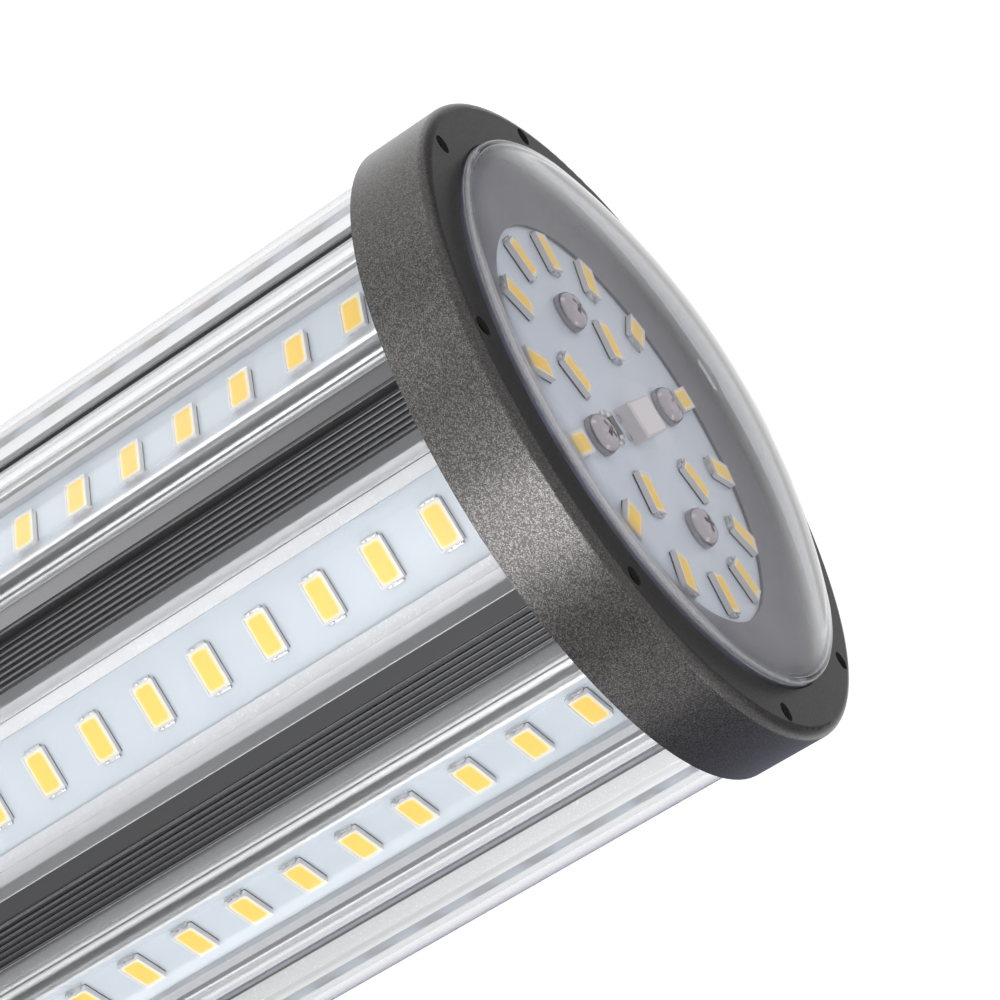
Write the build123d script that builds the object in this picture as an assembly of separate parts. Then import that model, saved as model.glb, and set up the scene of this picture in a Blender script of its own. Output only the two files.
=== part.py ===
from build123d import *
import math
import os

# Eight-sided LED lamp on a screw cap, in millimetres.
# Origin at the tip of the centre contact, +Z along the lamp's axis to the clear dome.
# One light strip faces -Y, and the other seven follow at 45 degree steps.

# Driving dimensions of the whole lamp
SIDES = 8
STEP_ANGLE = 360 / SIDES
FIRST_SIDE = -90
HALF_STEP = STEP_ANGLE / 2
FACE_Z = 191.9
REAR_FACE_Z = 62.0
RING_RADIUS = 40.64
RING_HEIGHT = 10.0

# End ring section, depths measured from its face
RING_HOLE_RADIUS = 34.95
RING_EDGE_ROUND = 1.2
FLANGE_DEPTH = 2.0
FLANGE_RADIUS = 37.2
SKIRT_DEPTH = 4.2
SKIRT_RADIUS = 39.45
RING_SCREW_CIRCLE = 38.19
RING_SCREW_RADIUS = 0.9
RING_SCREW_LENGTH = 5.4
RING_SINK_RADIUS = 1.15
RING_SINK_DEPTH = 1.2
RING_HEAD_RADIUS = 1.05
RING_HEAD_HEIGHT = 0.85

# Clear dome
DOME_CLEARANCE = 0.15
DOME_EDGE_HEIGHT = 1.2
DOME_SHOULDER = 0.7
DOME_CROWN = 8.0
DOME_WALL = 1.0
DOME_FLANGE_THICKNESS = 1.2
SEAL_THICKNESS = 1.0
SEAL_INNER_RADIUS = 34.0
SEAL_SEAT_RADIUS = 33.7

# Head plate, board and what the board carries
PLATE_RADIUS = 39.3
HEAD_PLATE_THICKNESS = 2.8
HEAD_BOARD_RADIUS = 27.0
HEAD_BOARD_TOP_DEPTH = 2.9
HEAD_BOARD_THICKNESS = 1.6
HEAD_RING_LEDS = 14
HEAD_RING_LED_CIRCLE = 22.0
HEAD_INNER_LED_CIRCLE = 12.3
HEAD_INNER_LEDS = [(-125.5, 19.5), (-49.5, -18.5), (42.5, 19.5), (140.5, -18.5)]
HEAD_SCREWS = 4
HEAD_SCREW_CIRCLE = 14.0
HEAD_SCREW_HEAD_RADIUS = 2.5
HEAD_SCREW_HEAD_HEIGHT = 1.9
HEAD_SCREW_CROWN = 0.85
HEAD_SCREW_RADIUS = 1.5
CONNECTOR_SIZE = (4.6, 8.0, 2.0)
CONNECTOR_PLACE = (0.3, 0.5)
CONNECTOR_CHAMFER = 0.25
CHIP_SIZE = (3.2, 1.6, 0.6)
CHIP_PLACE = (-0.3, -7.6)
TRIM_OUTER_RADIUS = 33.6
TRIM_INNER_RADIUS = 25.5
TRIM_LEG = 0.65
TRIM_RIM_DEPTH = 1.6
TRIM_EDGE = 0.4
BOARD_SEAT_CLEARANCE = 0.5
SCREW_HEAD_CLEARANCE = 0.2

# LED package
LED_LENGTH = 5.7
LED_WIDTH = 3.0
LED_HEIGHT = 0.85
LED_WINDOW_LENGTH = 4.5
LED_WINDOW_WIDTH = 2.1
LED_WINDOW_DEPTH = 0.12

# Heat sink section on one side: across the side, then out from the axis
SINK_TOP_Z = 183.5
SINK_BOTTOM_Z = 70.2
SINK_BORE_RADIUS = 29.0
SIDE_HALF_WIDTH = 9.5
SIDE_RADIUS = 34.3
HOOK_SLOT_OUTER = 7.75
HOOK_SLOT_INNER = 6.55
HOOK_SLOT_UNDERCUT = 8.1
HOOK_SLOT_FLOOR = 32.9
HOOK_LEDGE = 33.6
LIP_RADIUS = 34.2
LIP_HALF_GAP = 5.15
BOARD_TOP_RADIUS = 33.4
BOARD_HALF_WIDTH = 5.7
BOARD_THICKNESS = 1.0
POCKET_CLEARANCE = 0.05

# Ribbed corner groove between two sides: along the chord, then out from the axis
LAND_HEIGHT = 35.3
LAND_END = -1.75
BEAD_WIDTH = 0.3
BEAD_GROOVE = 0.25
GROOVE_FLOOR = 33.35
RIB_COUNT = 7
RIB_LAST = 3.1
RIB_PITCH = 0.72
RIB_WIDTH = 0.42
RIB_HEIGHT = 0.6

# Clear strip cover
COVER_CROWN_RADIUS = 39.1
COVER_EDGE_RADIUS = 35.5
COVER_HALF_WIDTH = 9.45
COVER_WALL = 1.3
COVER_LEG_OUTER = 7.7
COVER_LEG_INNER = 6.6
COVER_BARB = 8.05
COVER_LEG_END = 32.95
COVER_BARB_TOP = 33.55

# Light strip
STRIP_LEDS = 14
STRIP_PITCH = 7.654
STRIP_FIRST_LED_Z = FACE_Z - 15.2
STRIP_TOP_Z = 183.3

# Rear end
REAR_PLATE_BORE = 24.0
LINK_BOARD_THICKNESS = 1.2
LINK_BOARD_BORE = 27.0
PLATE_SCREWS = 4
PLATE_SCREW_CIRCLE = 31.0
PLATE_SCREW_RADIUS = 1.1
PLATE_SCREW_HEAD_RADIUS = 1.9
PLATE_SCREW_HEAD_HEIGHT = 1.2
PLATE_SCREW_LENGTH = 9.0
HOUSING_WALL = 1.8
HOUSING_SHOULDER_Z = 56.0
HOUSING_NECK_Z = 34.0
HOUSING_NECK_RADIUS = 16.0
HOUSING_SOCKET_RADIUS = 12.1
HOUSING_SOCKET_Z = 14.0
HOUSING_SHOULDER_ROUND = 4.0
HOUSING_NECK_ROUND = 3.0
SHOULDER_DROP = 0.6

# Driver
DRIVER_WIDTH = 44.0
DRIVER_BOTTOM_Z = 48.0
DRIVER_TOP_Z = 134.0
DRIVER_BOARD_THICKNESS = 1.6
RAIL_INNER = 20.5
RAIL_OUTER = 24.5
RAIL_WIDTH = 4.8
RAIL_LOW_Z = 44.0
RAIL_HIGH_Z = 58.0
TRANSFORMER_SIZE = (18.0, 14.0, 20.0)
TRANSFORMER_PLACE = (-8.0, 100.0)
TRANSFORMER_CHAMFER = 1.0
CAPACITOR_RADIUS = 6.5
CAPACITOR_LENGTH = 22.0
CAPACITOR_PLACE = (11.0, 74.0)
CAPACITOR_ROUND = 0.8
CHOKE_RADIUS = 8.0
CHOKE_HOLE_RADIUS = 3.5
CHOKE_THICKNESS = 7.0
CHOKE_PLACE = (-9.0, 78.0)
LEAD_RADIUS = 0.7
LEAD_SPACING = 2.4
LEAD_CLEARANCE = 0.3
LINK_LEAD_RADIUS = 0.5
CAP_LEAD_RADIUS = 0.5
SHELL_LEAD_X = 9.3
NOTCH_HEIGHT = 6.0
NOTCH_REACH = 6.0

# Screw cap of 27 mm nominal thread
CAP_RADIUS = 13.1
CAP_WALL = 1.0
CAP_TOP_Z = 28.0
CAP_BOTTOM_Z = 6.2
CAP_LIP_RADIUS = 10.6
CAP_LIP_RISE = 2.0
CAP_LIP_RISE_INSIDE = 2.2
CONTACT_RADIUS = 5.0
CONTACT_HEIGHT = 2.2
CONTACT_ROUND = 1.2
CONTACT_SEAT = 0.6
INSULATOR_TOP_Z = 10.0


def write(name, shape):
    """Write one named piece, or a group of like pieces, to its own file."""
    export_step(shape, f"parts/{name}.step")


def group(solids):
    """Separate solids of one kind as one compound."""
    return Compound(children=list(solids))


def section(points):
    """Face in the XZ plane through points given as radius and height."""
    return Plane.XZ * make_face(Polyline(*points, close=True))


def turned(points):
    """Full turn about the lamp's axis of a straight-sided section."""
    return revolve(section(points), Axis.Z)


def tube(outer, inner, low, high):
    """Plain ring between two heights."""
    wall = Circle(outer) - Circle(inner)
    return Pos(0, 0, low) * extrude(wall, high - low)


def rod(radius, x, y, low, high):
    """Upright round bar."""
    return Pos(x, y, low) * extrude(Circle(radius), high - low)


def around(count, radius, first_angle):
    """Places on a circle about the axis, evenly spaced."""
    places = []
    for index in range(count):
        angle = math.radians(first_angle + index * 360 / count)
        places.append((radius * math.cos(angle), radius * math.sin(angle)))
    return places


def on_side(angle, across, out):
    """Point of one side, from its distance across the side and its distance out."""
    turn = math.radians(angle)
    x = out * math.cos(turn) - across * math.sin(turn)
    y = out * math.sin(turn) + across * math.cos(turn)
    return (x, y)


def in_one(result):
    """The single solid of a boolean result."""
    solids = result.solids()
    return solids[0] if len(solids) == 1 else result


# End ring, the same casting at both ends of the lamp

def ring_casting():
    """Rounded ring with its face at height zero and its skirt hanging below."""
    points = [
        (RING_HOLE_RADIUS, 0),
        (RING_RADIUS, 0),
        (RING_RADIUS, -RING_HEIGHT),
        (SKIRT_RADIUS, -RING_HEIGHT),
        (SKIRT_RADIUS, -SKIRT_DEPTH),
        (FLANGE_RADIUS, -SKIRT_DEPTH),
        (FLANGE_RADIUS, -FLANGE_DEPTH),
        (RING_HOLE_RADIUS, -FLANGE_DEPTH),
    ]
    ring = turned(points)
    rim = ring.edges().filter_by(GeomType.CIRCLE).sort_by(Axis.Z)
    rim = [edge for edge in rim if edge.radius > RING_RADIUS - 0.01 and edge.center().Z > -0.01]
    ring = fillet(rim, RING_EDGE_ROUND)
    cutters = []
    for x, y in around(SIDES, RING_SCREW_CIRCLE, FIRST_SIDE + HALF_STEP):
        cutters.append(rod(RING_SINK_RADIUS, x, y, -RING_SINK_DEPTH, 1))
        cutters.append(rod(RING_SCREW_RADIUS, x, y, -SKIRT_DEPTH - 1, 1))
    return in_one(ring - cutters)


def ring_screws():
    """Eight small screws, their heads just below the ring's face at height zero."""
    head_low = -RING_SINK_DEPTH
    head_high = head_low + RING_HEAD_HEIGHT
    shank_low = head_low - RING_SCREW_LENGTH
    screws = []
    for x, y in around(SIDES, RING_SCREW_CIRCLE, FIRST_SIDE + HALF_STEP):
        screw = rod(RING_HEAD_RADIUS, x, y, head_low, head_high)
        screw += rod(RING_SCREW_RADIUS, x, y, shank_low, head_low)
        screws.append(in_one(screw))
    return screws


# Light source pieces

def led_package():
    """One LED package lying flat, base at height zero, long side along X."""
    body = extrude(Rectangle(LED_LENGTH, LED_WIDTH), LED_HEIGHT)
    window = extrude(Rectangle(LED_WINDOW_LENGTH, LED_WINDOW_WIDTH), LED_WINDOW_DEPTH)
    return in_one(body - Pos(0, 0, LED_HEIGHT - LED_WINDOW_DEPTH) * window)


def side_frame(angle):
    """Frame on one side's board: X across the side, Y up the lamp, Z outward."""
    x, y = on_side(angle, 0, BOARD_TOP_RADIUS)
    across = on_side(angle, 1, 0)
    out = on_side(angle, 0, 1)
    return Plane(origin=(x, y, 0), x_dir=(across[0], across[1], 0), z_dir=(out[0], out[1], 0))


def strip_leds(angle):
    """The LEDs of one side, each with its long side across the strip."""
    frame = side_frame(angle)
    package = led_package()
    leds = []
    for index in range(STRIP_LEDS):
        height = STRIP_FIRST_LED_Z - index * STRIP_PITCH
        leds.append(frame.location * Pos(0, height, 0) * package)
    return leds


def strip_board(angle):
    """Long circuit board that slides into one side's pocket."""
    length = STRIP_TOP_Z - SINK_BOTTOM_Z + LINK_BOARD_THICKNESS
    middle = (STRIP_TOP_Z + SINK_BOTTOM_Z - LINK_BOARD_THICKNESS) / 2
    board = Box(2 * BOARD_HALF_WIDTH, length, BOARD_THICKNESS)
    return side_frame(angle).location * Pos(0, middle, -BOARD_THICKNESS / 2) * board


# Heat sink, one extrusion

def side_outline(angle):
    """Corners of one side's pocket, lips and hook slots, in order round the lamp."""
    half = [
        (BOARD_HALF_WIDTH + POCKET_CLEARANCE, BOARD_TOP_RADIUS - BOARD_THICKNESS),
        (BOARD_HALF_WIDTH + POCKET_CLEARANCE, BOARD_TOP_RADIUS + POCKET_CLEARANCE),
        (LIP_HALF_GAP, BOARD_TOP_RADIUS + POCKET_CLEARANCE),
        (LIP_HALF_GAP, LIP_RADIUS),
        (HOOK_SLOT_INNER, LIP_RADIUS),
        (HOOK_SLOT_INNER, HOOK_SLOT_FLOOR),
        (HOOK_SLOT_UNDERCUT, HOOK_SLOT_FLOOR),
        (HOOK_SLOT_UNDERCUT, HOOK_LEDGE),
        (HOOK_SLOT_OUTER, HOOK_LEDGE),
        (HOOK_SLOT_OUTER, SIDE_RADIUS),
        (SIDE_HALF_WIDTH, SIDE_RADIUS),
    ]
    left = [(-across, out) for across, out in reversed(half)]
    return [on_side(angle, across, out) for across, out in left + half]


def groove_edges(angle, start, finish):
    """Edges of the ribbed groove that follows one side, from its edge to the next side's."""
    middle = angle + HALF_STEP

    def place(along, out):
        return on_side(middle, along, out)

    bead_start = LAND_END - BEAD_WIDTH
    step_start = bead_start - BEAD_GROOVE
    shallow = LAND_HEIGHT - BEAD_GROOVE
    edges = [
        Line(start, place(step_start, LAND_HEIGHT)),
        Line(place(step_start, LAND_HEIGHT), place(step_start, shallow)),
        Line(place(step_start, shallow), place(bead_start, shallow)),
        Line(place(bead_start, shallow), place(bead_start, shallow + BEAD_WIDTH / 2)),
        ThreePointArc(
            place(bead_start, shallow + BEAD_WIDTH / 2),
            place(bead_start + BEAD_WIDTH / 2, shallow + BEAD_WIDTH),
            place(LAND_END, shallow + BEAD_WIDTH / 2),
        ),
        Line(place(LAND_END, shallow + BEAD_WIDTH / 2), place(LAND_END, GROOVE_FLOOR)),
    ]
    reached = place(LAND_END, GROOVE_FLOOR)
    shoulder = GROOVE_FLOOR + RIB_HEIGHT - RIB_WIDTH / 2
    for index in range(RIB_COUNT):
        centre = RIB_LAST - (RIB_COUNT - 1 - index) * RIB_PITCH
        left = centre - RIB_WIDTH / 2
        right = centre + RIB_WIDTH / 2
        crest = place(centre, GROOVE_FLOOR + RIB_HEIGHT)
        edges.append(Line(reached, place(left, GROOVE_FLOOR)))
        edges.append(Line(place(left, GROOVE_FLOOR), place(left, shoulder)))
        edges.append(ThreePointArc(place(left, shoulder), crest, place(right, shoulder)))
        edges.append(Line(place(right, shoulder), place(right, GROOVE_FLOOR)))
        reached = place(right, GROOVE_FLOOR)
    slope = math.radians(HALF_STEP)
    foot_out = (GROOVE_FLOOR - SIDE_HALF_WIDTH * math.sin(slope)) / math.cos(slope)
    foot = on_side(angle + STEP_ANGLE, -SIDE_HALF_WIDTH, foot_out)
    edges.append(Line(reached, foot))
    edges.append(Line(foot, finish))
    return edges


def heat_sink():
    """Eight pocketed sides and eight ribbed grooves round one bore."""
    edges = []
    outlines = [side_outline(FIRST_SIDE + index * STEP_ANGLE) for index in range(SIDES)]
    for index, outline in enumerate(outlines):
        following = outlines[(index + 1) % SIDES]
        for first, second in zip(outline, outline[1:]):
            edges.append(Line(first, second))
        angle = FIRST_SIDE + index * STEP_ANGLE
        edges += groove_edges(angle, outline[-1], following[0])
    profile = make_face(edges) - Circle(SINK_BORE_RADIUS)
    for x, y in around(PLATE_SCREWS, PLATE_SCREW_CIRCLE, FIRST_SIDE + HALF_STEP):
        profile -= Pos(x, y) * Circle(PLATE_SCREW_RADIUS)
    return in_one(Pos(0, 0, SINK_BOTTOM_Z) * extrude(profile, SINK_TOP_Z - SINK_BOTTOM_Z))


def strip_cover(angle):
    """Clear bowed cover of one side, snapped in by two barbed legs."""
    rise = COVER_CROWN_RADIUS - COVER_EDGE_RADIUS
    outer_radius = (COVER_HALF_WIDTH**2 + rise**2) / (2 * rise)
    centre = COVER_CROWN_RADIUS - outer_radius
    inner_radius = outer_radius - COVER_WALL
    inner_edge = centre + math.sqrt(inner_radius**2 - COVER_LEG_INNER**2)
    right = [
        (COVER_HALF_WIDTH, COVER_EDGE_RADIUS),
        (COVER_HALF_WIDTH, SIDE_RADIUS),
        (COVER_LEG_OUTER, SIDE_RADIUS),
        (COVER_LEG_OUTER, COVER_BARB_TOP),
        (COVER_BARB, COVER_BARB_TOP),
        (COVER_LEG_OUTER, COVER_LEG_END),
        (COVER_LEG_INNER, COVER_LEG_END),
        (COVER_LEG_INNER, inner_edge),
    ]
    left = [(-across, out) for across, out in right]

    def place(point):
        return on_side(angle, *point)

    edges = [
        ThreePointArc(place(left[0]), place((0, COVER_CROWN_RADIUS)), place(right[0])),
        Polyline(*[place(point) for point in right]),
        ThreePointArc(place(right[-1]), place((0, centre + inner_radius)), place(left[-1])),
        Polyline(*[place(point) for point in left]),
    ]
    face = make_face(edges)
    return Pos(0, 0, SINK_BOTTOM_Z) * extrude(face, SINK_TOP_Z - SINK_BOTTOM_Z)


# Head of the lamp

def domed_disc(radius, low, edge, crown, rounding):
    """Upright disc with a shallow spherical top, rounded where the two meet."""
    rise = crown - edge
    sphere_radius = (radius**2 + rise**2) / (2 * rise)
    disc = rod(radius, 0, 0, low, crown + 1) & Pos(0, 0, crown - sphere_radius) * Sphere(sphere_radius)
    rims = disc.edges().filter_by(lambda edge: edge.is_closed and edge.center().Z > low + 0.1)
    return fillet(rims, rounding)


def dome_lens():
    """Clear moulded dome: flange under the ring, upright rim, rounded shoulder, low crown."""
    outer = RING_HOLE_RADIUS - DOME_CLEARANCE
    flange_top = FACE_Z - FLANGE_DEPTH
    flange_low = flange_top - DOME_FLANGE_THICKNESS
    edge = FACE_Z + DOME_EDGE_HEIGHT
    crown = FACE_Z + DOME_CROWN
    body = domed_disc(outer, flange_low, edge, crown, DOME_SHOULDER)
    body += tube(FLANGE_RADIUS - DOME_CLEARANCE, outer - DOME_WALL, flange_low, flange_top)
    inside_round = DOME_SHOULDER - DOME_WALL / 2
    hollow = domed_disc(
        outer - DOME_WALL, flange_low - 1, edge - DOME_WALL, crown - DOME_WALL, inside_round
    )
    return in_one(body - hollow)


def seal_ring(low):
    """Soft flat ring that a flange is pressed against."""
    return tube(FLANGE_RADIUS - DOME_CLEARANCE, SEAL_INNER_RADIUS, low, low + SEAL_THICKNESS)


def plate_holes(low, high):
    """Clearance holes of the screws that hold a plate to the heat sink."""
    places = around(PLATE_SCREWS, PLATE_SCREW_CIRCLE, FIRST_SIDE + HALF_STEP)
    return [rod(PLATE_SCREW_RADIUS, x, y, low, high) for x, y in places]


def ring_screw_holes(low, high):
    """Threaded holes that take the ring's screws."""
    places = around(SIDES, RING_SCREW_CIRCLE, FIRST_SIDE + HALF_STEP)
    return [rod(RING_SCREW_RADIUS, x, y, low, high) for x, y in places]


def head_plate():
    """Turned plate on top of the heat sink, with a seat for the board and one for the seal."""
    seal_seat = FACE_Z - SKIRT_DEPTH
    board_seat = FACE_Z - HEAD_BOARD_TOP_DEPTH - HEAD_BOARD_THICKNESS
    floor = SINK_TOP_Z + HEAD_PLATE_THICKNESS
    seat_radius = HEAD_BOARD_RADIUS + BOARD_SEAT_CLEARANCE
    plate = turned([
        (0, SINK_TOP_Z),
        (PLATE_RADIUS, SINK_TOP_Z),
        (PLATE_RADIUS, seal_seat),
        (SEAL_SEAT_RADIUS, seal_seat),
        (SEAL_SEAT_RADIUS, floor),
        (seat_radius, floor),
        (seat_radius, board_seat),
        (0, board_seat),
    ])
    cutters = plate_holes(SINK_TOP_Z - 1, floor + 1)
    cutters += ring_screw_holes(FACE_Z - RING_SINK_DEPTH - RING_SCREW_LENGTH, seal_seat + 1)
    for x, y in around(HEAD_SCREWS, HEAD_SCREW_CIRCLE, FIRST_SIDE):
        cutters.append(rod(HEAD_SCREW_RADIUS, x, y, SINK_TOP_Z - 1, board_seat + 1))
    for side in (-1, 1):
        x = CONNECTOR_PLACE[0] + side * LEAD_SPACING / 2
        cutters.append(rod(LEAD_RADIUS + LEAD_CLEARANCE, x, 0, SINK_TOP_Z - 1, board_seat + 1))
    return in_one(plate - cutters)


def plate_screws(seat, direction):
    """Screws through a plate into the heat sink, heads on the plate's outer face."""
    screws = []
    for x, y in around(PLATE_SCREWS, PLATE_SCREW_CIRCLE, FIRST_SIDE + HALF_STEP):
        head_end = seat + direction * PLATE_SCREW_HEAD_HEIGHT
        shank_end = seat - direction * PLATE_SCREW_LENGTH
        head = rod(PLATE_SCREW_HEAD_RADIUS, x, y, min(seat, head_end), max(seat, head_end))
        shank = rod(PLATE_SCREW_RADIUS, x, y, min(seat, shank_end), max(seat, shank_end))
        screws.append(in_one(head + shank))
    return screws


def head_board():
    """Round board with its screw holes and two lead holes."""
    top = FACE_Z - HEAD_BOARD_TOP_DEPTH
    low = top - HEAD_BOARD_THICKNESS
    board = rod(HEAD_BOARD_RADIUS, 0, 0, low, top)
    cutters = []
    for x, y in around(HEAD_SCREWS, HEAD_SCREW_CIRCLE, FIRST_SIDE):
        cutters.append(rod(HEAD_SCREW_RADIUS, x, y, low - 1, top + 1))
    for side in (-1, 1):
        x = CONNECTOR_PLACE[0] + side * LEAD_SPACING / 2
        cutters.append(rod(LEAD_RADIUS + LEAD_CLEARANCE, x, 0, low - 1, top + 1))
    return in_one(board - cutters)


def head_board_leds():
    """A ring of LEDs pointing outward and four more inside it."""
    top = FACE_Z - HEAD_BOARD_TOP_DEPTH
    package = led_package()
    leds = []
    for index in range(HEAD_RING_LEDS):
        angle = FIRST_SIDE + index * 360 / HEAD_RING_LEDS
        leds.append(Pos(0, 0, top) * Rot(0, 0, angle) * Pos(HEAD_RING_LED_CIRCLE, 0, 0) * package)
    for angle, turn in HEAD_INNER_LEDS:
        centre = math.radians(angle)
        x = HEAD_INNER_LED_CIRCLE * math.cos(centre)
        y = HEAD_INNER_LED_CIRCLE * math.sin(centre)
        leds.append(Pos(x, y, top) * Rot(0, 0, turn) * package)
    return leds


def head_board_screws():
    """Four pan-head screws that clamp the board to the head plate."""
    top = FACE_Z - HEAD_BOARD_TOP_DEPTH
    screws = []
    for x, y in around(HEAD_SCREWS, HEAD_SCREW_CIRCLE, FIRST_SIDE):
        head = rod(HEAD_SCREW_HEAD_RADIUS, x, y, top, top + HEAD_SCREW_HEAD_HEIGHT)
        crown = head.edges().filter_by(GeomType.CIRCLE).sort_by(Axis.Z)[-1]
        head = fillet(crown, HEAD_SCREW_CROWN)
        screws.append(in_one(head + rod(HEAD_SCREW_RADIUS, x, y, SINK_TOP_Z, top)))
    return screws


def wire_connector():
    """Block in the middle of the board that takes the two supply leads."""
    width, length, height = CONNECTOR_SIZE
    x, y = CONNECTOR_PLACE
    top = FACE_Z - HEAD_BOARD_TOP_DEPTH
    block = Pos(x, y, top + height / 2) * Box(width, length, height)
    rim = block.edges().group_by(Axis.Z)[-1]
    return in_one(chamfer(rim, CONNECTOR_CHAMFER))


def chip_resistor():
    """Small flat resistor between the connector and a screw."""
    length, width, height = CHIP_SIZE
    x, y = CHIP_PLACE
    return Pos(x, y, FACE_Z - HEAD_BOARD_TOP_DEPTH + height / 2) * Box(length, width, height)


def board_trim():
    """Sloping trim ring between the board's edge and the dome's flange."""
    top = FACE_Z - HEAD_BOARD_TOP_DEPTH
    floor = SINK_TOP_Z + HEAD_PLATE_THICKNESS
    return turned([
        (TRIM_INNER_RADIUS, top),
        (HEAD_BOARD_RADIUS + BOARD_SEAT_CLEARANCE, top),
        (TRIM_OUTER_RADIUS - TRIM_LEG, floor + PLATE_SCREW_HEAD_HEIGHT + SCREW_HEAD_CLEARANCE),
        (TRIM_OUTER_RADIUS - TRIM_LEG, floor),
        (TRIM_OUTER_RADIUS, floor),
        (TRIM_OUTER_RADIUS, FACE_Z - TRIM_RIM_DEPTH),
        (TRIM_INNER_RADIUS, top + TRIM_EDGE),
    ])


# Rear end of the lamp

def link_board():
    """Eight-sided board under the heat sink that joins the ends of the strip boards."""
    low = SINK_BOTTOM_Z - LINK_BOARD_THICKNESS
    apothem = BOARD_TOP_RADIUS - BOARD_THICKNESS
    corner = apothem / math.cos(math.radians(HALF_STEP))
    outline = Rot(0, 0, HALF_STEP) * RegularPolygon(corner, SIDES)
    board = Pos(0, 0, low) * extrude(outline - Circle(LINK_BOARD_BORE), LINK_BOARD_THICKNESS)
    return in_one(board - plate_holes(low - 1, SINK_BOTTOM_Z + 1))


def rear_plate():
    """Flat ring that the rear ring's screws bite into, below the link board."""
    seat = REAR_FACE_Z + SKIRT_DEPTH
    high = SINK_BOTTOM_Z - LINK_BOARD_THICKNESS
    plate = tube(PLATE_RADIUS, REAR_PLATE_BORE, seat, high)
    cutters = plate_holes(seat - 1, high + 1)
    top = min(high + 1, REAR_FACE_Z + RING_SINK_DEPTH + RING_SCREW_LENGTH)
    cutters += ring_screw_holes(seat - 1, top)
    return in_one(plate - cutters)


def driver_housing():
    """Moulded rear housing: flange under the rear ring, round shoulder, tapered neck, socket."""
    outer = RING_HOLE_RADIUS - DOME_CLEARANCE
    flange = FLANGE_RADIUS - DOME_CLEARANCE
    flange_low = REAR_FACE_Z + FLANGE_DEPTH
    flange_high = flange_low + DOME_FLANGE_THICKNESS
    wall = HOUSING_WALL
    shell = turned([
        (HOUSING_SOCKET_RADIUS, HOUSING_SOCKET_Z),
        (HOUSING_SOCKET_RADIUS, CAP_TOP_Z),
        (HOUSING_NECK_RADIUS, CAP_TOP_Z),
        (HOUSING_NECK_RADIUS, HOUSING_NECK_Z),
        (outer, HOUSING_SHOULDER_Z),
        (outer, flange_low),
        (flange, flange_low),
        (flange, flange_high),
        (outer - wall, flange_high),
        (outer - wall, HOUSING_SHOULDER_Z + wall * SHOULDER_DROP),
        (HOUSING_NECK_RADIUS - wall, HOUSING_NECK_Z + wall),
        (HOUSING_NECK_RADIUS - wall, CAP_TOP_Z + wall),
        (HOUSING_SOCKET_RADIUS - wall, CAP_TOP_Z),
        (HOUSING_SOCKET_RADIUS - wall, HOUSING_SOCKET_Z),
    ])
    corners = [
        (HOUSING_SHOULDER_Z, HOUSING_SHOULDER_ROUND),
        (HOUSING_NECK_Z, HOUSING_NECK_ROUND),
    ]
    for height, rounding in corners:
        circles = shell.edges().filter_by(GeomType.CIRCLE)
        corner = [edge for edge in circles if abs(edge.center().Z - height) < 0.01]
        shell = fillet(corner, rounding)
    slot_width = DRIVER_WIDTH + 2 * POCKET_CLEARANCE
    slot_thickness = DRIVER_BOARD_THICKNESS + 2 * POCKET_CLEARANCE
    slot_height = 2 * (RAIL_HIGH_Z - DRIVER_BOTTOM_Z)
    slot = Pos(0, 0, RAIL_HIGH_Z) * Box(slot_width, slot_thickness, slot_height)
    for side in (-1, 1):
        middle = side * (RAIL_INNER + RAIL_OUTER) / 2
        rail = Box(RAIL_OUTER - RAIL_INNER, RAIL_WIDTH, RAIL_HIGH_Z - RAIL_LOW_Z)
        shell += Pos(middle, 0, (RAIL_LOW_Z + RAIL_HIGH_Z) / 2) * rail - slot
    notch = Box(NOTCH_REACH, 2 * CAP_LEAD_RADIUS, NOTCH_HEIGHT)
    return in_one(shell - Pos(HOUSING_SOCKET_RADIUS, 0, HOUSING_SOCKET_Z) * notch)


def driver_board():
    """Upright circuit board inside the heat sink, its foot in the housing."""
    board = Box(DRIVER_WIDTH, DRIVER_BOARD_THICKNESS, DRIVER_TOP_Z - DRIVER_BOTTOM_Z)
    return Pos(0, 0, (DRIVER_TOP_Z + DRIVER_BOTTOM_Z) / 2) * board


def driver_transformer():
    """Wound core and bobbin on the driver board's front."""
    width, depth, height = TRANSFORMER_SIZE
    x, z = TRANSFORMER_PLACE
    core = Pos(x, -(DRIVER_BOARD_THICKNESS + depth) / 2, z) * Box(width, depth, height)
    rim = core.edges().filter_by(Axis.Y)
    return in_one(chamfer(rim, TRANSFORMER_CHAMFER))


def driver_capacitor():
    """Electrolytic can lying along the driver board."""
    x, z = CAPACITOR_PLACE
    y = -DRIVER_BOARD_THICKNESS / 2 - CAPACITOR_RADIUS
    can = rod(CAPACITOR_RADIUS, x, y, z, z + CAPACITOR_LENGTH)
    ends = can.edges().filter_by(GeomType.CIRCLE)
    return in_one(fillet(ends, CAPACITOR_ROUND))


def driver_choke():
    """Round wound choke standing on the driver board."""
    x, z = CHOKE_PLACE
    ring = Circle(CHOKE_RADIUS) - Circle(CHOKE_HOLE_RADIUS)
    lying = Rot(90, 0, 0) * extrude(ring, CHOKE_THICKNESS)
    return Pos(x, -DRIVER_BOARD_THICKNESS / 2, z) * lying


def supply_leads():
    """Two insulated leads from the driver board up to the head connector."""
    top = FACE_Z - HEAD_BOARD_TOP_DEPTH
    leads = []
    for side in (-1, 1):
        x = CONNECTOR_PLACE[0] + side * LEAD_SPACING / 2
        leads.append(rod(LEAD_RADIUS, x, 0, DRIVER_TOP_Z, top))
    return leads


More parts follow.
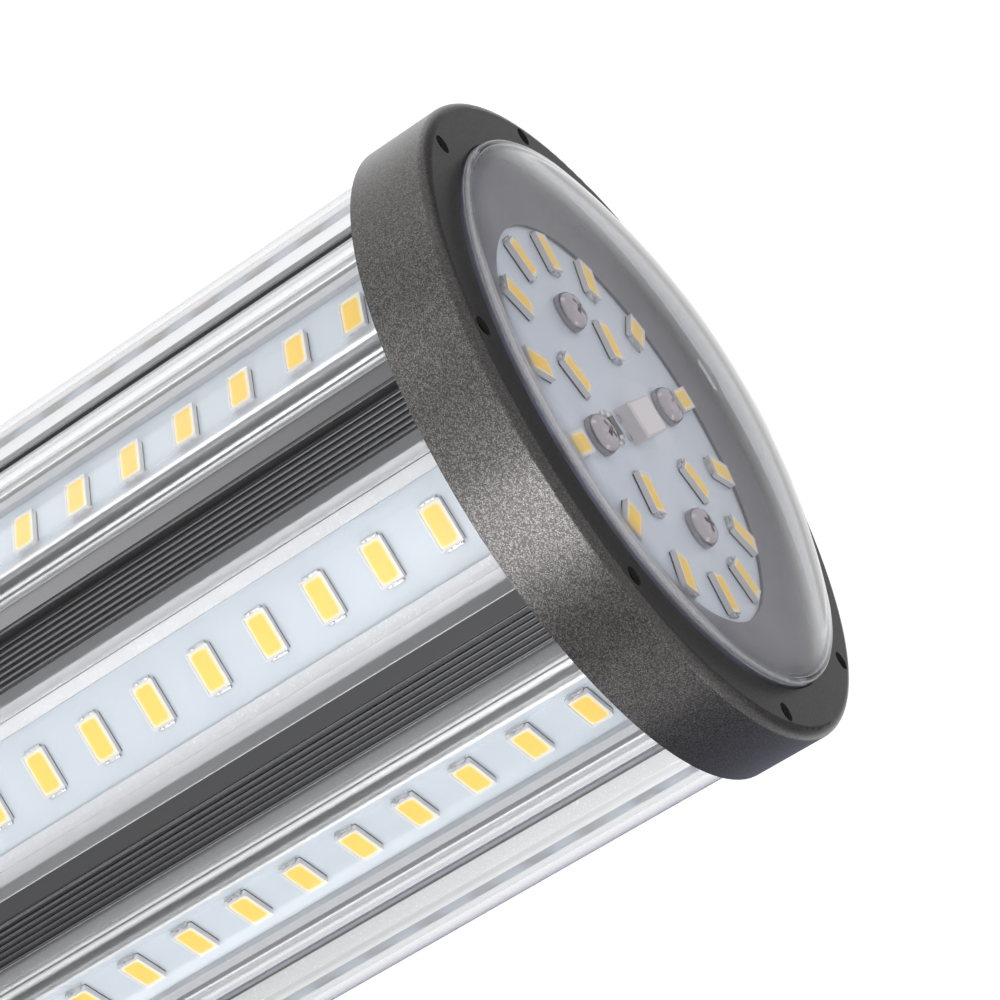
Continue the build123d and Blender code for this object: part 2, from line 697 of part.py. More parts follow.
def cap_leads():
    """One lead down the axis to the centre contact and one bent out to the shell."""
    straight = rod(CAP_LEAD_RADIUS, 0, 0, CONTACT_HEIGHT, DRIVER_BOTTOM_Z)
    level = HOUSING_SOCKET_Z + NOTCH_HEIGHT / 2 - CAP_LEAD_RADIUS
    shell_wall = CAP_RADIUS - CAP_WALL
    route = FilletPolyline(
        (SHELL_LEAD_X, 0, DRIVER_BOTTOM_Z),
        (SHELL_LEAD_X, 0, level),
        (shell_wall, 0, level),
        radius=CAP_LEAD_RADIUS * 2,
    )
    start = Plane(origin=route @ 0, z_dir=route % 0)
    return [straight, sweep(start * Circle(CAP_LEAD_RADIUS), path=route)]


def link_leads():
    """Two short leads from the driver board's edges to the link board."""
    height = SINK_BOTTOM_Z - LINK_BOARD_THICKNESS / 2
    reach = LINK_BOARD_BORE - DRIVER_WIDTH / 2
    leads = []
    for side in (-1, 1):
        start = side * DRIVER_WIDTH / 2
        bar = extrude(Circle(LINK_LEAD_RADIUS), reach)
        leads.append(Pos(start, 0, height) * Rot(0, 90 * side, 0) * bar)
    return leads


# Screw cap

def screw_shell():
    """Drawn metal shell on the housing's socket, turned in at its lower end."""
    inner = CAP_RADIUS - CAP_WALL
    return turned([
        (inner, CAP_TOP_Z),
        (CAP_RADIUS, CAP_TOP_Z),
        (CAP_RADIUS, CAP_BOTTOM_Z + CAP_LIP_RISE),
        (CAP_LIP_RADIUS + CAP_WALL, CAP_BOTTOM_Z),
        (CAP_LIP_RADIUS, CAP_BOTTOM_Z),
        (CAP_LIP_RADIUS, CAP_BOTTOM_Z + CAP_WALL),
        (inner, CAP_BOTTOM_Z + CAP_LIP_RISE_INSIDE),
    ])


def cap_insulator():
    """Moulded insulator that closes the shell and holds the contact."""
    inner = CAP_RADIUS - CAP_WALL
    body = turned([
        (0, CONTACT_HEIGHT),
        (CONTACT_RADIUS + CONTACT_SEAT, CONTACT_HEIGHT),
        (CAP_LIP_RADIUS, CAP_BOTTOM_Z),
        (CAP_LIP_RADIUS, CAP_BOTTOM_Z + CAP_WALL),
        (inner, CAP_BOTTOM_Z + CAP_LIP_RISE_INSIDE),
        (inner, HOUSING_SOCKET_Z),
        (HOUSING_SOCKET_RADIUS - HOUSING_WALL, HOUSING_SOCKET_Z),
        (HOUSING_SOCKET_RADIUS - HOUSING_WALL, INSULATOR_TOP_Z),
        (0, INSULATOR_TOP_Z),
    ])
    return in_one(body - rod(CAP_LEAD_RADIUS, 0, 0, 0, INSULATOR_TOP_Z + 1))


def centre_contact():
    """Round contact button at the tip of the cap."""
    button = rod(CONTACT_RADIUS, 0, 0, 0, CONTACT_HEIGHT)
    rim = button.edges().filter_by(GeomType.CIRCLE).sort_by(Axis.Z)[0]
    return in_one(fillet(rim, CONTACT_ROUND))


def flip_to_rear(piece):
    """Turn a piece of the head end over and set its face at the rear end."""
    return Pos(0, 0, REAR_FACE_Z) * Rot(180, 0, 0) * piece


def main():
    os.makedirs("parts", exist_ok=True)

    write("end_ring", Pos(0, 0, FACE_Z) * ring_casting())
    write("end_ring_screws", group(Pos(0, 0, FACE_Z) * screw for screw in ring_screws()))
    write("dome_lens", dome_lens())
    write("dome_seal", seal_ring(FACE_Z - SKIRT_DEPTH))
    write("head_plate", head_plate())
    head_floor = SINK_TOP_Z + HEAD_PLATE_THICKNESS
    write("head_plate_screws", group(plate_screws(head_floor, 1)))
    write("board_trim", board_trim())
    write("head_board", head_board())
    write("head_board_leds", group(head_board_leds()))
    write("head_board_screws", group(head_board_screws()))
    write("wire_connector", wire_connector())
    write("chip_resistor", chip_resistor())

    write("heat_sink", heat_sink())
    for index in range(SIDES):
        angle = FIRST_SIDE + index * STEP_ANGLE
        write(f"strip_board_{index + 1}", strip_board(angle))
        write(f"strip_leds_{index + 1}", group(strip_leds(angle)))
        write(f"strip_cover_{index + 1}", strip_cover(angle))

    write("link_board", link_board())
    write("rear_plate", rear_plate())
    write("rear_plate_screws", group(plate_screws(REAR_FACE_Z + SKIRT_DEPTH, -1)))
    write("rear_ring", flip_to_rear(ring_casting()))
    write("rear_ring_screws", group(flip_to_rear(screw) for screw in ring_screws()))
    housing_seal = REAR_FACE_Z + FLANGE_DEPTH + DOME_FLANGE_THICKNESS
    write("housing_seal", seal_ring(housing_seal))
    write("driver_housing", driver_housing())
    write("driver_board", driver_board())
    write("driver_transformer", driver_transformer())
    write("driver_capacitor", driver_capacitor())
    write("driver_choke", driver_choke())
    write("supply_leads", group(supply_leads()))
    write("link_leads", group(link_leads()))
    write("cap_leads", group(cap_leads()))

    write("screw_shell", screw_shell())
    write("cap_insulator", cap_insulator())
    write("centre_contact", centre_contact())


main()
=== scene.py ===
import math
from functools import partial

import bmesh
import bpy
from bpy.props import FloatProperty, FloatVectorProperty, IntProperty, PointerProperty
from mathutils import Matrix, Vector


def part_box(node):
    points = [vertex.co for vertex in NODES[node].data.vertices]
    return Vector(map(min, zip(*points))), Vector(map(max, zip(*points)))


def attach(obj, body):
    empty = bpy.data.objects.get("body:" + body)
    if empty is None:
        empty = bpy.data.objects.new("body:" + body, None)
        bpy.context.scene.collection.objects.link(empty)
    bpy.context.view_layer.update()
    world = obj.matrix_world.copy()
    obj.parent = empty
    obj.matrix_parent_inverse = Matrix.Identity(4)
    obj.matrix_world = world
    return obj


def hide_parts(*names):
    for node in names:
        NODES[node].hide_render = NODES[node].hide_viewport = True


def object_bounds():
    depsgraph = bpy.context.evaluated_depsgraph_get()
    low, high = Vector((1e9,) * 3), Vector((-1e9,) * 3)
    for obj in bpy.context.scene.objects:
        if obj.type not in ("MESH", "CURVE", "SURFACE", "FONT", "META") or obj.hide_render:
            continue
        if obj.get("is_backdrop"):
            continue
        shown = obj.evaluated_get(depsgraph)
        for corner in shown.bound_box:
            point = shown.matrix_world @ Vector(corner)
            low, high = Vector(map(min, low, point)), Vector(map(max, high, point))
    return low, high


bl_info = {
    "name": "Ribbed LED lamp",
    "version": (1, 0, 0),
    "blender": (4, 5, 0),
    "location": "3D Viewport > Sidebar > Lamp",
    "description": "Finishes the eight-sided LED lamp and sets its studio",
    "category": "Object",
}

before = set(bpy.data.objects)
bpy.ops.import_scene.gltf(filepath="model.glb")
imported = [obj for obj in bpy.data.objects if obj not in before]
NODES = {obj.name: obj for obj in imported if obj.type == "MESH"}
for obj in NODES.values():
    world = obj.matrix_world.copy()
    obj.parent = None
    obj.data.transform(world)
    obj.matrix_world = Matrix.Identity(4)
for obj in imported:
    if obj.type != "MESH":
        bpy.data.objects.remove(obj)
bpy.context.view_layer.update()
MM = 0.001
SIDES = 8
STEP = math.radians(45)
FIRST_SIDE = math.radians(-90)
WELD = 1e-7
BLACK = (0, 0, 0, 1)
WHITE = (1, 1, 1, 1)


# Sizes and colours a user would change

SizeProperty = partial(FloatProperty, unit="LENGTH")
AngleProperty = partial(FloatProperty, subtype="ANGLE")
ColourProperty = partial(FloatVectorProperty, subtype="COLOR")


class LedSizes(bpy.types.PropertyGroup):
    """The LED packages and where they sit on the boards."""

    length: SizeProperty(
        name="Length", description="Package length with its terminals", default=5.7 * MM
    )
    width: SizeProperty(name="Width", description="Package width", default=2.9 * MM)
    height: SizeProperty(
        name="Height", description="Top of the package over the board", default=0.85 * MM
    )
    window_length: SizeProperty(
        name="Window length", description="Length of the yellow window", default=4.85 * MM
    )
    window_width: SizeProperty(
        name="Window width", description="Width of the yellow window", default=2.66 * MM
    )
    window_depth: SizeProperty(
        name="Window depth", description="How far the window sinks in", default=0.12 * MM
    )
    window_corner: SizeProperty(
        name="Window corner", description="Corner radius of the window", default=0.75 * MM
    )
    # The foot is painted shadow: a dark strip that draws the shade line under each package.
    foot: SizeProperty(
        name="Foot", description="Height of the dark foot under the package", default=0.16 * MM
    )
    terminal: SizeProperty(
        name="Terminal", description="How far each terminal stands out", default=0.34 * MM
    )
    per_strip: IntProperty(
        name="Per strip", description="Packages on one strip", default=14, min=1
    )
    pitch: SizeProperty(name="Pitch", description="Spacing along a strip", default=7.654 * MM)
    first: SizeProperty(
        name="First", description="Height of a strip's first package", default=176.7 * MM
    )
    board_out: SizeProperty(
        name="Board", description="Strip board's face, out from the axis", default=33.4 * MM
    )
    ring_count: IntProperty(
        name="Ring count", description="Packages in the head board's ring", default=14, min=1
    )
    ring_circle: SizeProperty(
        name="Ring", description="Radius of the head board's ring", default=22.0 * MM
    )
    inner_circle: SizeProperty(
        name="Inner", description="Radius of the four inner packages", default=12.3 * MM
    )


class ScrewSizes(bpy.types.PropertyGroup):
    """The board screws, the ring screws and the cap's rolled thread."""

    pan_radius: SizeProperty(
        name="Pan head", description="Board screw's head radius", default=2.45 * MM
    )
    pan_height: SizeProperty(
        name="Pan height", description="Board screw's head height", default=1.9 * MM
    )
    pan_circle: SizeProperty(
        name="Pan circle", description="Circle of the board screws", default=14.0 * MM
    )
    cross_width: SizeProperty(name="Cross", description="Width of a recess wing", default=0.8 * MM)
    cross_depth: SizeProperty(
        name="Cross depth", description="Depth of the cross recess", default=1.1 * MM
    )
    ring_radius: SizeProperty(
        name="Ring head", description="Ring screw's head radius", default=1.05 * MM
    )
    ring_height: SizeProperty(
        name="Ring height", description="Ring screw's head height", default=0.85 * MM
    )
    ring_circle: SizeProperty(
        name="Ring circle", description="Circle of the ring screws", default=38.19 * MM
    )
    ring_sink: SizeProperty(
        name="Ring sink", description="Depth of the ring screw's seat", default=1.2 * MM
    )
    hex_radius: SizeProperty(
        name="Hex", description="Ring screw's key recess radius", default=0.42 * MM
    )
    thread_pitch: SizeProperty(
        name="Thread pitch", description="Pitch of the cap's rolled thread", default=3.62 * MM
    )
    thread_depth: SizeProperty(
        name="Thread depth", description="Depth of the cap's rolled thread", default=0.85 * MM
    )
    shell_wall: SizeProperty(
        name="Shell wall", description="Thickness of the drawn shell", default=0.2 * MM
    )


class Finishes(bpy.types.PropertyGroup):
    """Colours of the visible finishes, with painted shade and sheen for the grooves."""

    paint: ColourProperty(
        name="Ring paint", description="Powder coat of the end rings",
        default=(0.052, 0.049, 0.049),
    )
    flake: ColourProperty(
        name="Flake", description="Metal flake in the coat", default=(0.21, 0.203, 0.197)
    )
    metal: ColourProperty(
        name="Aluminium", description="Blasted aluminium", default=(0.60, 0.605, 0.62)
    )
    # Painted shade: the grooves' dark colour stands in for the shade deep in them.
    groove_shade: ColourProperty(
        name="Groove", description="Dark finish in the ribbed grooves", default=(0.1, 0.1, 0.103)
    )
    # Painted sheen: the lighter colour the grooves take at a low angle stands in for reflected
    # light.
    groove_grazing_sheen: ColourProperty(
        name="Groove grazing", description="The same finish seen at a low angle",
        default=(0.46, 0.46, 0.47),
    )
    board: ColourProperty(
        name="Board", description="White mask on the boards", default=(0.6, 0.655, 0.715)
    )
    package: ColourProperty(
        name="Package", description="Plastic of the LED packages", default=(0.8, 0.78, 0.78)
    )
    phosphor: ColourProperty(
        name="Phosphor", description="Middle of the LED window", default=(0.96, 0.62, 0.08)
    )
    phosphor_edge: ColourProperty(
        name="Phosphor edge", description="Rim of the LED window", default=(0.96, 0.79, 0.46)
    )


class Studio(bpy.types.PropertyGroup):
    """The camera, the lights and the floor."""

    eye: FloatVectorProperty(
        name="Camera", description="Where the camera stands",
        subtype="TRANSLATION", unit="LENGTH", default=(13.88 * MM, -331.58 * MM, 287.10 * MM),
    )
    azimuth: AngleProperty(
        name="Azimuth", description="Camera's turn about the lamp's axis from its front",
        default=math.radians(2.467),
    )
    elevation: AngleProperty(
        name="Elevation", description="Camera's height angle", default=math.radians(19.188)
    )
    roll: AngleProperty(
        name="Roll", description="Camera's turn about its own line of sight",
        default=math.radians(58.088),
    )
    lens: FloatProperty(
        name="Lens", description="Focal length in millimetres on a 36 mm sensor", default=112.16
    )
    ambient: FloatProperty(name="Ambient", description="Light from all round", default=0.62, min=0)
    key_power: FloatProperty(
        name="Key", description="Power of the front light", default=1.05, min=0
    )
    top_power: FloatProperty(
        name="Top", description="Power of the light over the head", default=0.15, min=0
    )
    side_power: FloatProperty(
        name="Sides", description="Power of each side light", default=0.45, min=0
    )
    flag_level: FloatProperty(
        name="Flag", description="Brightness of the panel behind the lamp", default=0.08, min=0
    )
    card_near: FloatProperty(
        name="Card near", description="Brightness of the left floor card by the lamp",
        default=5.0, min=0,
    )
    card_far: FloatProperty(
        name="Card far", description="Brightness of the left floor card at its far end",
        default=1.1, min=0,
    )


# Small helpers

def settings():
    """The scene's property groups."""
    return bpy.context.scene


def side_place(side, height, out):
    """Frame on one strip: X across it, Y up the lamp, Z outward, at that height."""
    angle = FIRST_SIDE + side * STEP
    outward = Vector((math.cos(angle), math.sin(angle), 0))
    across = Vector((-math.sin(angle), math.cos(angle), 0))
    turn = Matrix((across, Vector((0, 0, 1)), outward)).transposed().to_4x4()
    return Matrix.Translation(outward * out + Vector((0, 0, height))) @ turn


def on_circle(count, radius, first, height):
    """Places on a circle about the axis."""
    places = []
    for index in range(count):
        angle = first + index * math.tau / count
        spot = Vector((radius * math.cos(angle), radius * math.sin(angle), height))
        places.append(Matrix.Translation(spot) @ Matrix.Rotation(angle, 4, "Z"))
    return places


def board_top():
    """Height of the head board's face."""
    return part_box("head_board")[1].z


def make_object(name, mesh, materials):
    """Link a mesh as an object that carries the given materials."""
    piece = bpy.data.objects.new(name, mesh)
    bpy.context.scene.collection.objects.link(piece)
    for material in materials:
        mesh.materials.append(material)
    return piece


def to_mesh(bm, name):
    """Turn a bmesh into a mesh, and free it."""
    mesh = bpy.data.meshes.new(name)
    bm.to_mesh(mesh)
    bm.free()
    return mesh


def smooth(mesh, sharp=35):
    """Shade a mesh smooth up to an angle in degrees."""
    mesh.shade_smooth()
    mesh.set_sharp_from_angle(angle=math.radians(sharp))
    return mesh


def finish_mesh(bm, name, sharp=35):
    """Turn a bmesh into a welded mesh with outward normals and smooth shading."""
    bmesh.ops.remove_doubles(bm, verts=bm.verts, dist=WELD)
    bmesh.ops.recalc_face_normals(bm, faces=bm.faces)
    return smooth(to_mesh(bm, name), sharp)


def spread(name, template, places, materials, replaced=()):
    """A piece made of copies of one template, riding on the lamp."""
    bm = bmesh.new()
    for place in places:
        known = len(bm.verts)
        bm.from_mesh(template)
        bm.verts.ensure_lookup_table()
        bmesh.ops.transform(bm, matrix=place, verts=bm.verts[known:])
    piece = make_object(name, smooth(to_mesh(bm, name)), materials)
    ride(piece, replaced)


def ride(piece, replaced=()):
    """Fix a piece to the lamp and hide the solids it stands for."""
    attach(piece, "root")
    if replaced:
        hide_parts(*replaced)


def lathe(profile, steps):
    """Closed surface turned about Z from a profile of radius and height."""
    bm = bmesh.new()
    verts = [bm.verts.new((radius, 0, height)) for radius, height in profile]
    edges = [bm.edges.new(pair) for pair in zip(verts, verts[1:])]
    bmesh.ops.spin(
        bm,
        geom=verts + edges,
        cent=(0, 0, 0),
        axis=(0, 0, 1),
        angle=math.tau,
        steps=steps,
        use_merge=True,
    )
    bmesh.ops.remove_doubles(bm, verts=bm.verts, dist=WELD)
    return bm


def round_edges(bm, edges, by):
    """Round the given edges."""
    bmesh.ops.bevel(
        bm,
        geom=edges,
        offset=by,
        offset_type="OFFSET",
        affect="EDGES",
        segments=2,
        profile=0.5,
        material=-1,
    )


def block(bm, size, centre, round_by=0.0, material=0):
    """Add a box, with all its edges slightly rounded if asked."""
    verts = bmesh.ops.create_cube(bm, size=1.0)["verts"]
    bmesh.ops.scale(bm, vec=size, verts=verts)
    bmesh.ops.translate(bm, vec=centre, verts=verts)
    for face in {face for vert in verts for face in vert.link_faces}:
        face.material_index = material
    if round_by:
        round_edges(bm, list({edge for vert in verts for edge in vert.link_edges}), round_by)


def cut(mesh, cutter, name):
    """Mesh with a cutter taken out of it."""
    body = bpy.data.objects.new(name, mesh)
    tool = bpy.data.objects.new(f"{name}_cutter", cutter)
    for thing in (body, tool):
        bpy.context.scene.collection.objects.link(thing)
    modifier = body.modifiers.new("Recess", "BOOLEAN")
    modifier.operation = "DIFFERENCE"
    modifier.object = tool
    modifier.solver = "EXACT"
    graph = bpy.context.evaluated_depsgraph_get()
    graph.update()
    result = bpy.data.meshes.new_from_object(body.evaluated_get(graph), depsgraph=graph)
    bpy.data.objects.remove(body)
    bpy.data.objects.remove(tool)
    return smooth(result)


# Shader nodes

def feed(tree, node, inputs):
    """Set a node's inputs, each to a value or from a socket."""
    for key, value in inputs.items():
        if isinstance(value, bpy.types.NodeSocket):
            tree.links.new(value, node.inputs[key])
        else:
            node.inputs[key].default_value = value


def add(tree, kind, inputs, **options):
    """Add a node, set its options, and feed its inputs."""
    made = tree.nodes.new(kind)
    for option, value in options.items():
        setattr(made, option, value)
    feed(tree, made, inputs)
    return made


def maths(tree, operation, first, second=0.0, clamp=False):
    """One Math node's result."""
    fed = {0: first, 1: second}
    return add(tree, "ShaderNodeMath", fed, operation=operation, use_clamp=clamp).outputs[0]


def less(tree, mask, share):
    """One, less a share of a mask."""
    return maths(tree, "SUBTRACT", 1.0, maths(tree, "MULTIPLY", mask, share))


def distance(tree, first, second):
    """Length of a line with two square parts."""
    first_squared = maths(tree, "MULTIPLY", first, first)
    second_squared = maths(tree, "MULTIPLY", second, second)
    return maths(tree, "SQRT", maths(tree, "ADD", first_squared, second_squared))


def split(tree, vector):
    """The three coordinates of a vector."""
    return add(tree, "ShaderNodeSeparateXYZ", {0: vector}).outputs


def ramp(tree, value, low, high, start=0.0, end=1.0):
    """A value that climbs smoothly from start at low to end at high."""
    made = add(
        tree,
        "ShaderNodeMapRange",
        {"Value": value, "From Min": low, "From Max": high, "To Min": start, "To Max": end},
        interpolation_type="SMOOTHSTEP",
    )
    return made.outputs["Result"]


def blend(tree, factor, first, second):
    """Mix of two colours."""
    fed = {0: factor, 6: first, 7: second}
    return add(tree, "ShaderNodeMix", fed, data_type="RGBA", clamp_result=False).outputs[2]


def colour(value):
    """Colour with full alpha."""
    return (value[0], value[1], value[2], 1.0)


def grey(level, hue=WHITE):
    """A hue at a given brightness, which may be over one for a lamp."""
    return tuple(level * channel for channel in hue[:3]) + (1.0,)


def new_group(name, inputs, outputs):
    """An empty shader node group with the given sockets."""
    group = bpy.data.node_groups.new(name, "ShaderNodeTree")
    for label, kind, default in inputs:
        socket = group.interface.new_socket(label, in_out="INPUT", socket_type=kind)
        if default is not None:
            socket.default_value = default
    for label, kind in outputs:
        group.interface.new_socket(label, in_out="OUTPUT", socket_type=kind)
    return group, group.nodes.new("NodeGroupInput"), group.nodes.new("NodeGroupOutput")


def flake_group():
    """Small cells of random brightness, as metal flakes in a coat."""
    group, given, result = new_group(
        "Flakes",
        [
            ("Vector", "NodeSocketVector", None),
            ("Scale", "NodeSocketFloat", 4500.0),
            ("Share", "NodeSocketFloat", 0.3),
        ],
        [("Mask", "NodeSocketFloat"), ("Height", "NodeSocketFloat")],
    )
    fed = {"Vector": given.outputs["Vector"], "Scale": given.outputs["Scale"]}
    cells = add(group, "ShaderNodeTexVoronoi", fed)
    parts = add(group, "ShaderNodeSeparateColor", {"Color": cells.outputs["Color"]})
    limit = maths(group, "SUBTRACT", 1.0, given.outputs["Share"])
    above = maths(group, "SUBTRACT", parts.outputs["Red"], limit)
    level = maths(group, "DIVIDE", above, given.outputs["Share"], clamp=True)
    fade = ramp(group, cells.outputs["Distance"], 0.25, 0.6, 1.0, 0.35)
    group.links.new(maths(group, "MULTIPLY", level, fade), result.inputs["Mask"])
    group.links.new(parts.outputs["Green"], result.inputs["Height"])
    return group


def grain_group():
    """Two octaves of fine noise, as a height and as a slow mottle."""
    group, given, result = new_group(
        "Grain",
        [
            ("Vector", "NodeSocketVector", None),
            ("Scale", "NodeSocketFloat", 3000.0),
            ("Mottle Scale", "NodeSocketFloat", 90.0),
        ],
        [("Height", "NodeSocketFloat"), ("Mottle", "NodeSocketFloat")],
    )
    place = given.outputs["Vector"]
    fed = {"Vector": place, "Scale": given.outputs["Scale"], "Detail": 2.0, "Roughness": 0.6}
    fine = add(group, "ShaderNodeTexNoise", fed)
    fed = {"Vector": place, "Scale": given.outputs["Mottle Scale"], "Detail": 3.0}
    slow = add(group, "ShaderNodeTexNoise", fed)
    group.links.new(fine.outputs[0], result.inputs["Height"])
    group.links.new(slow.outputs[0], result.inputs["Mottle"])
    return group


def side_group():
    """Distance across the nearest side from its middle line, in metres."""
    group, given, result = new_group(
        "Side place",
        [("Vector", "NodeSocketVector", None)],
        [("Across", "NodeSocketFloat")],
    )
    place = split(group, given.outputs["Vector"])
    angle = maths(group, "ARCTAN2", place["Y"], place["X"])
    shifted = maths(group, "ADD", angle, math.tau + STEP / 2)
    wrapped = maths(group, "SUBTRACT", maths(group, "MODULO", shifted, STEP), STEP / 2)
    radius = distance(group, place["X"], place["Y"])
    across = maths(group, "MULTIPLY", radius, maths(group, "SINE", wrapped))
    group.links.new(across, result.inputs["Across"])
    return group


def shared_group(tree, name, maker, inputs):
    """A shader node group, built once, placed in a material."""
    group = bpy.data.node_groups.get(name) or maker()
    return add(tree, "ShaderNodeGroup", inputs, node_tree=group)


def new_material(name):
    """A material with its Principled shader and its object coordinates."""
    material = bpy.data.materials.new(name)
    material.use_nodes = True
    tree = material.node_tree
    shader = next(item for item in tree.nodes if item.type == "BSDF_PRINCIPLED")
    where = tree.nodes.new("ShaderNodeTexCoord").outputs["Object"]
    return material, tree, shader, where


SOCKETS = {
    "base": "Base Color",
    "metallic": "Metallic",
    "roughness": "Roughness",
    "ior": "IOR",
    "coat": "Coat Weight",
    "coat_roughness": "Coat Roughness",
    "transmission": "Transmission Weight",
    "specular": "Specular IOR Level",
    "emission": "Emission Color",
    "glow": "Emission Strength",
}


def set_shader(tree, shader, **values):
    """Values or sockets on the Principled shader's own inputs."""
    feed(tree, shader, {SOCKETS[key]: value for key, value in values.items()})


def show(tree, shader):
    """Make a shader the material's surface."""
    end = next(item for item in tree.nodes if item.type == "OUTPUT_MATERIAL")
    tree.links.new(shader.outputs[0], end.inputs["Surface"])


def grain(tree, where, scale, mottle_scale):
    """The grain group placed in a material."""
    fed = {"Vector": where, "Scale": scale, "Mottle Scale": mottle_scale}
    return shared_group(tree, "Grain", grain_group, fed)


def flakes(tree, where, scale, share):
    """The flake group placed in a material."""
    fed = {"Vector": where, "Scale": scale, "Share": share}
    return shared_group(tree, "Flakes", flake_group, fed)


def across_side(tree, where):
    """Distance to the middle line of the nearest side."""
    side = shared_group(tree, "Side place", side_group, {"Vector": where})
    return maths(tree, "ABSOLUTE", side.outputs["Across"])


def relief(tree, shader, height, strength, depth):
    """Feed a height to the shader's normal through a Bump node."""
    fed = {"Height": height, "Strength": strength, "Distance": depth}
    tree.links.new(add(tree, "ShaderNodeBump", fed).outputs["Normal"], shader.inputs["Normal"])


# Materials

def plain_finish(
    name, base, roughness, metallic=0.0, scale=2500.0, strength=0.12, vary=0.12, coat=0.0
):
    """A moulded, painted or cast surface with fine grain and slight mottling."""
    material, tree, shader, where = new_material(name)
    texture = grain(tree, where, scale, 120.0)
    mottle = texture.outputs["Mottle"]
    dark = tuple(channel * (1 - vary) for channel in base)
    mix = blend(tree, mottle, colour(dark), colour(base))
    level = ramp(tree, mottle, 0.3, 0.7, roughness * 0.9, min(1.0, roughness * 1.12))
    set_shader(tree, shader, base=mix, roughness=level)
    set_shader(tree, shader, metallic=metallic, coat=coat, coat_roughness=0.08)
    relief(tree, shader, texture.outputs["Height"], strength, 0.03 * MM)
    return material


def powder_coat():
    """Dark coat full of fine metal flakes, with fewer of them on the rings' flat faces."""
    finish = settings().lamp_finishes
    material, tree, shader, where = new_material("Ring powder coat")
    coarse = flakes(tree, where, 8200.0, 0.8)
    texture = grain(tree, where, 9000.0, 60.0)
    height_up = split(tree, where)["Z"]
    top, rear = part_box("end_ring")[1].z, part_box("rear_ring")[0].z
    near, far = 0.8 * MM, 1.1 * MM
    top_face = ramp(tree, height_up, top - far, top - near)
    rear_face = ramp(tree, height_up, rear + near, rear + far, 1.0, 0.0)
    between = 120 * MM
    low_half = maths(tree, "LESS_THAN", height_up, between)
    on_face = maths(tree, "MAXIMUM", top_face, maths(tree, "MULTIPLY", rear_face, low_half))
    mask = maths(tree, "MULTIPLY", coarse.outputs["Mask"], less(tree, on_face, 0.45))
    coat = blend(tree, mask, colour(finish.paint), colour(finish.flake))
    set_shader(tree, shader, base=coat, metallic=less(tree, on_face, 0.6))
    set_shader(tree, shader, specular=0.2, roughness=0.29)
    bumps = maths(tree, "MULTIPLY", coarse.outputs["Height"], 0.5)
    height = maths(tree, "ADD", texture.outputs["Height"], bumps)
    relief(tree, shader, height, 0.25, 0.015 * MM)
    return material


def ribbed_aluminium():
    """Blasted aluminium on the sides; smoother in the grooves, with painted shade and a painted
    sheen.
    """
    finish = settings().lamp_finishes
    material, tree, shader, where = new_material("Ribbed aluminium")
    # Mask of the grooves, where shade is painted in, the finish is smoother and the grain fainter.
    groove_shade_mask = ramp(tree, across_side(tree, where), 9.52 * MM, 9.57 * MM)
    stretched = add(tree, "ShaderNodeMapping", {"Vector": where, "Scale": (1.0, 1.0, 0.012)})
    drawn = grain(tree, stretched.outputs["Vector"], 4200.0, 600.0)
    blasted = grain(tree, where, 6500.0, 45.0)
    sparkle = flakes(tree, where, 7000.0, 0.14)
    bright, dull = (0.82, 0.82, 0.825, 1), (0.5, 0.5, 0.515, 1)
    light = blend(tree, sparkle.outputs["Mask"], colour(finish.metal), bright)
    lines = maths(tree, "MULTIPLY", drawn.outputs["Mottle"], 0.25)
    light = blend(tree, lines, light, dull)
    # Painted sheen: the grooves turn lighter at a low angle, standing in for reflected light.
    facing = add(tree, "ShaderNodeLayerWeight", {"Blend": 0.5}).outputs["Facing"]
    grazing_sheen = ramp(tree, facing, 0.38, 0.66)
    # Painted shade: the dark groove colour stands in for the shade deep in the grooves.
    dark = blend(tree, grazing_sheen, colour(finish.groove_shade), colour(finish.groove_grazing_sheen))
    base, level = blend(tree, groove_shade_mask, light, dark), ramp(tree, groove_shade_mask, 0.0, 1.0, 0.6, 0.34)
    set_shader(tree, shader, base=base, roughness=level, metallic=1.0)
    lines = maths(tree, "MULTIPLY", drawn.outputs["Height"], 0.5)
    height = maths(tree, "ADD", blasted.outputs["Height"], lines)
    height = maths(tree, "MULTIPLY", height, less(tree, groove_shade_mask, 0.85))
    relief(tree, shader, height, 0.25, 0.02 * MM)
    return material


def clear_plastic(name, tint, edge, index, rim_top=0.0, lip=0.0):
    """Clear plastic, matt on a dome's rim or a cover's lips, with painted shade at a low angle and
    on that rim.
    """
    material, tree, shader, where = new_material(name)
    facing = add(tree, "ShaderNodeLayerWeight", {"Blend": 0.5}).outputs["Facing"]
    # Painted shade: the base turns to the blue-grey edge colour at a low angle.
    low_angle_shade = ramp(tree, facing, 0.55, 0.95)
    if rim_top:
        matt = ramp(tree, split(tree, where)["Z"], rim_top - 1.1 * MM, rim_top, 1.0, 0.0)
        # The dome's rim takes the same painted shade.
        low_angle_shade = maths(tree, "MAXIMUM", low_angle_shade, matt)
    else:
        matt = ramp(tree, across_side(tree, where), lip - 0.5 * MM, lip)
    polished, satin = 0.02, 0.28
    level = ramp(tree, matt, 0.0, 1.0, polished, satin)
    base = blend(tree, low_angle_shade, colour(tint), colour(edge))
    set_shader(tree, shader, base=base, roughness=level, ior=index, transmission=1.0)
    shadow_ray = tree.nodes.new("ShaderNodeLightPath").outputs["Is Shadow Ray"]
    shadow = add(tree, "ShaderNodeBsdfTransparent", {"Color": (0.93, 0.94, 0.95, 1)})
    fed = {0: shadow_ray, 1: shader.outputs[0], 2: shadow.outputs[0]}
    show(tree, add(tree, "ShaderNodeMixShader", fed))
    return material


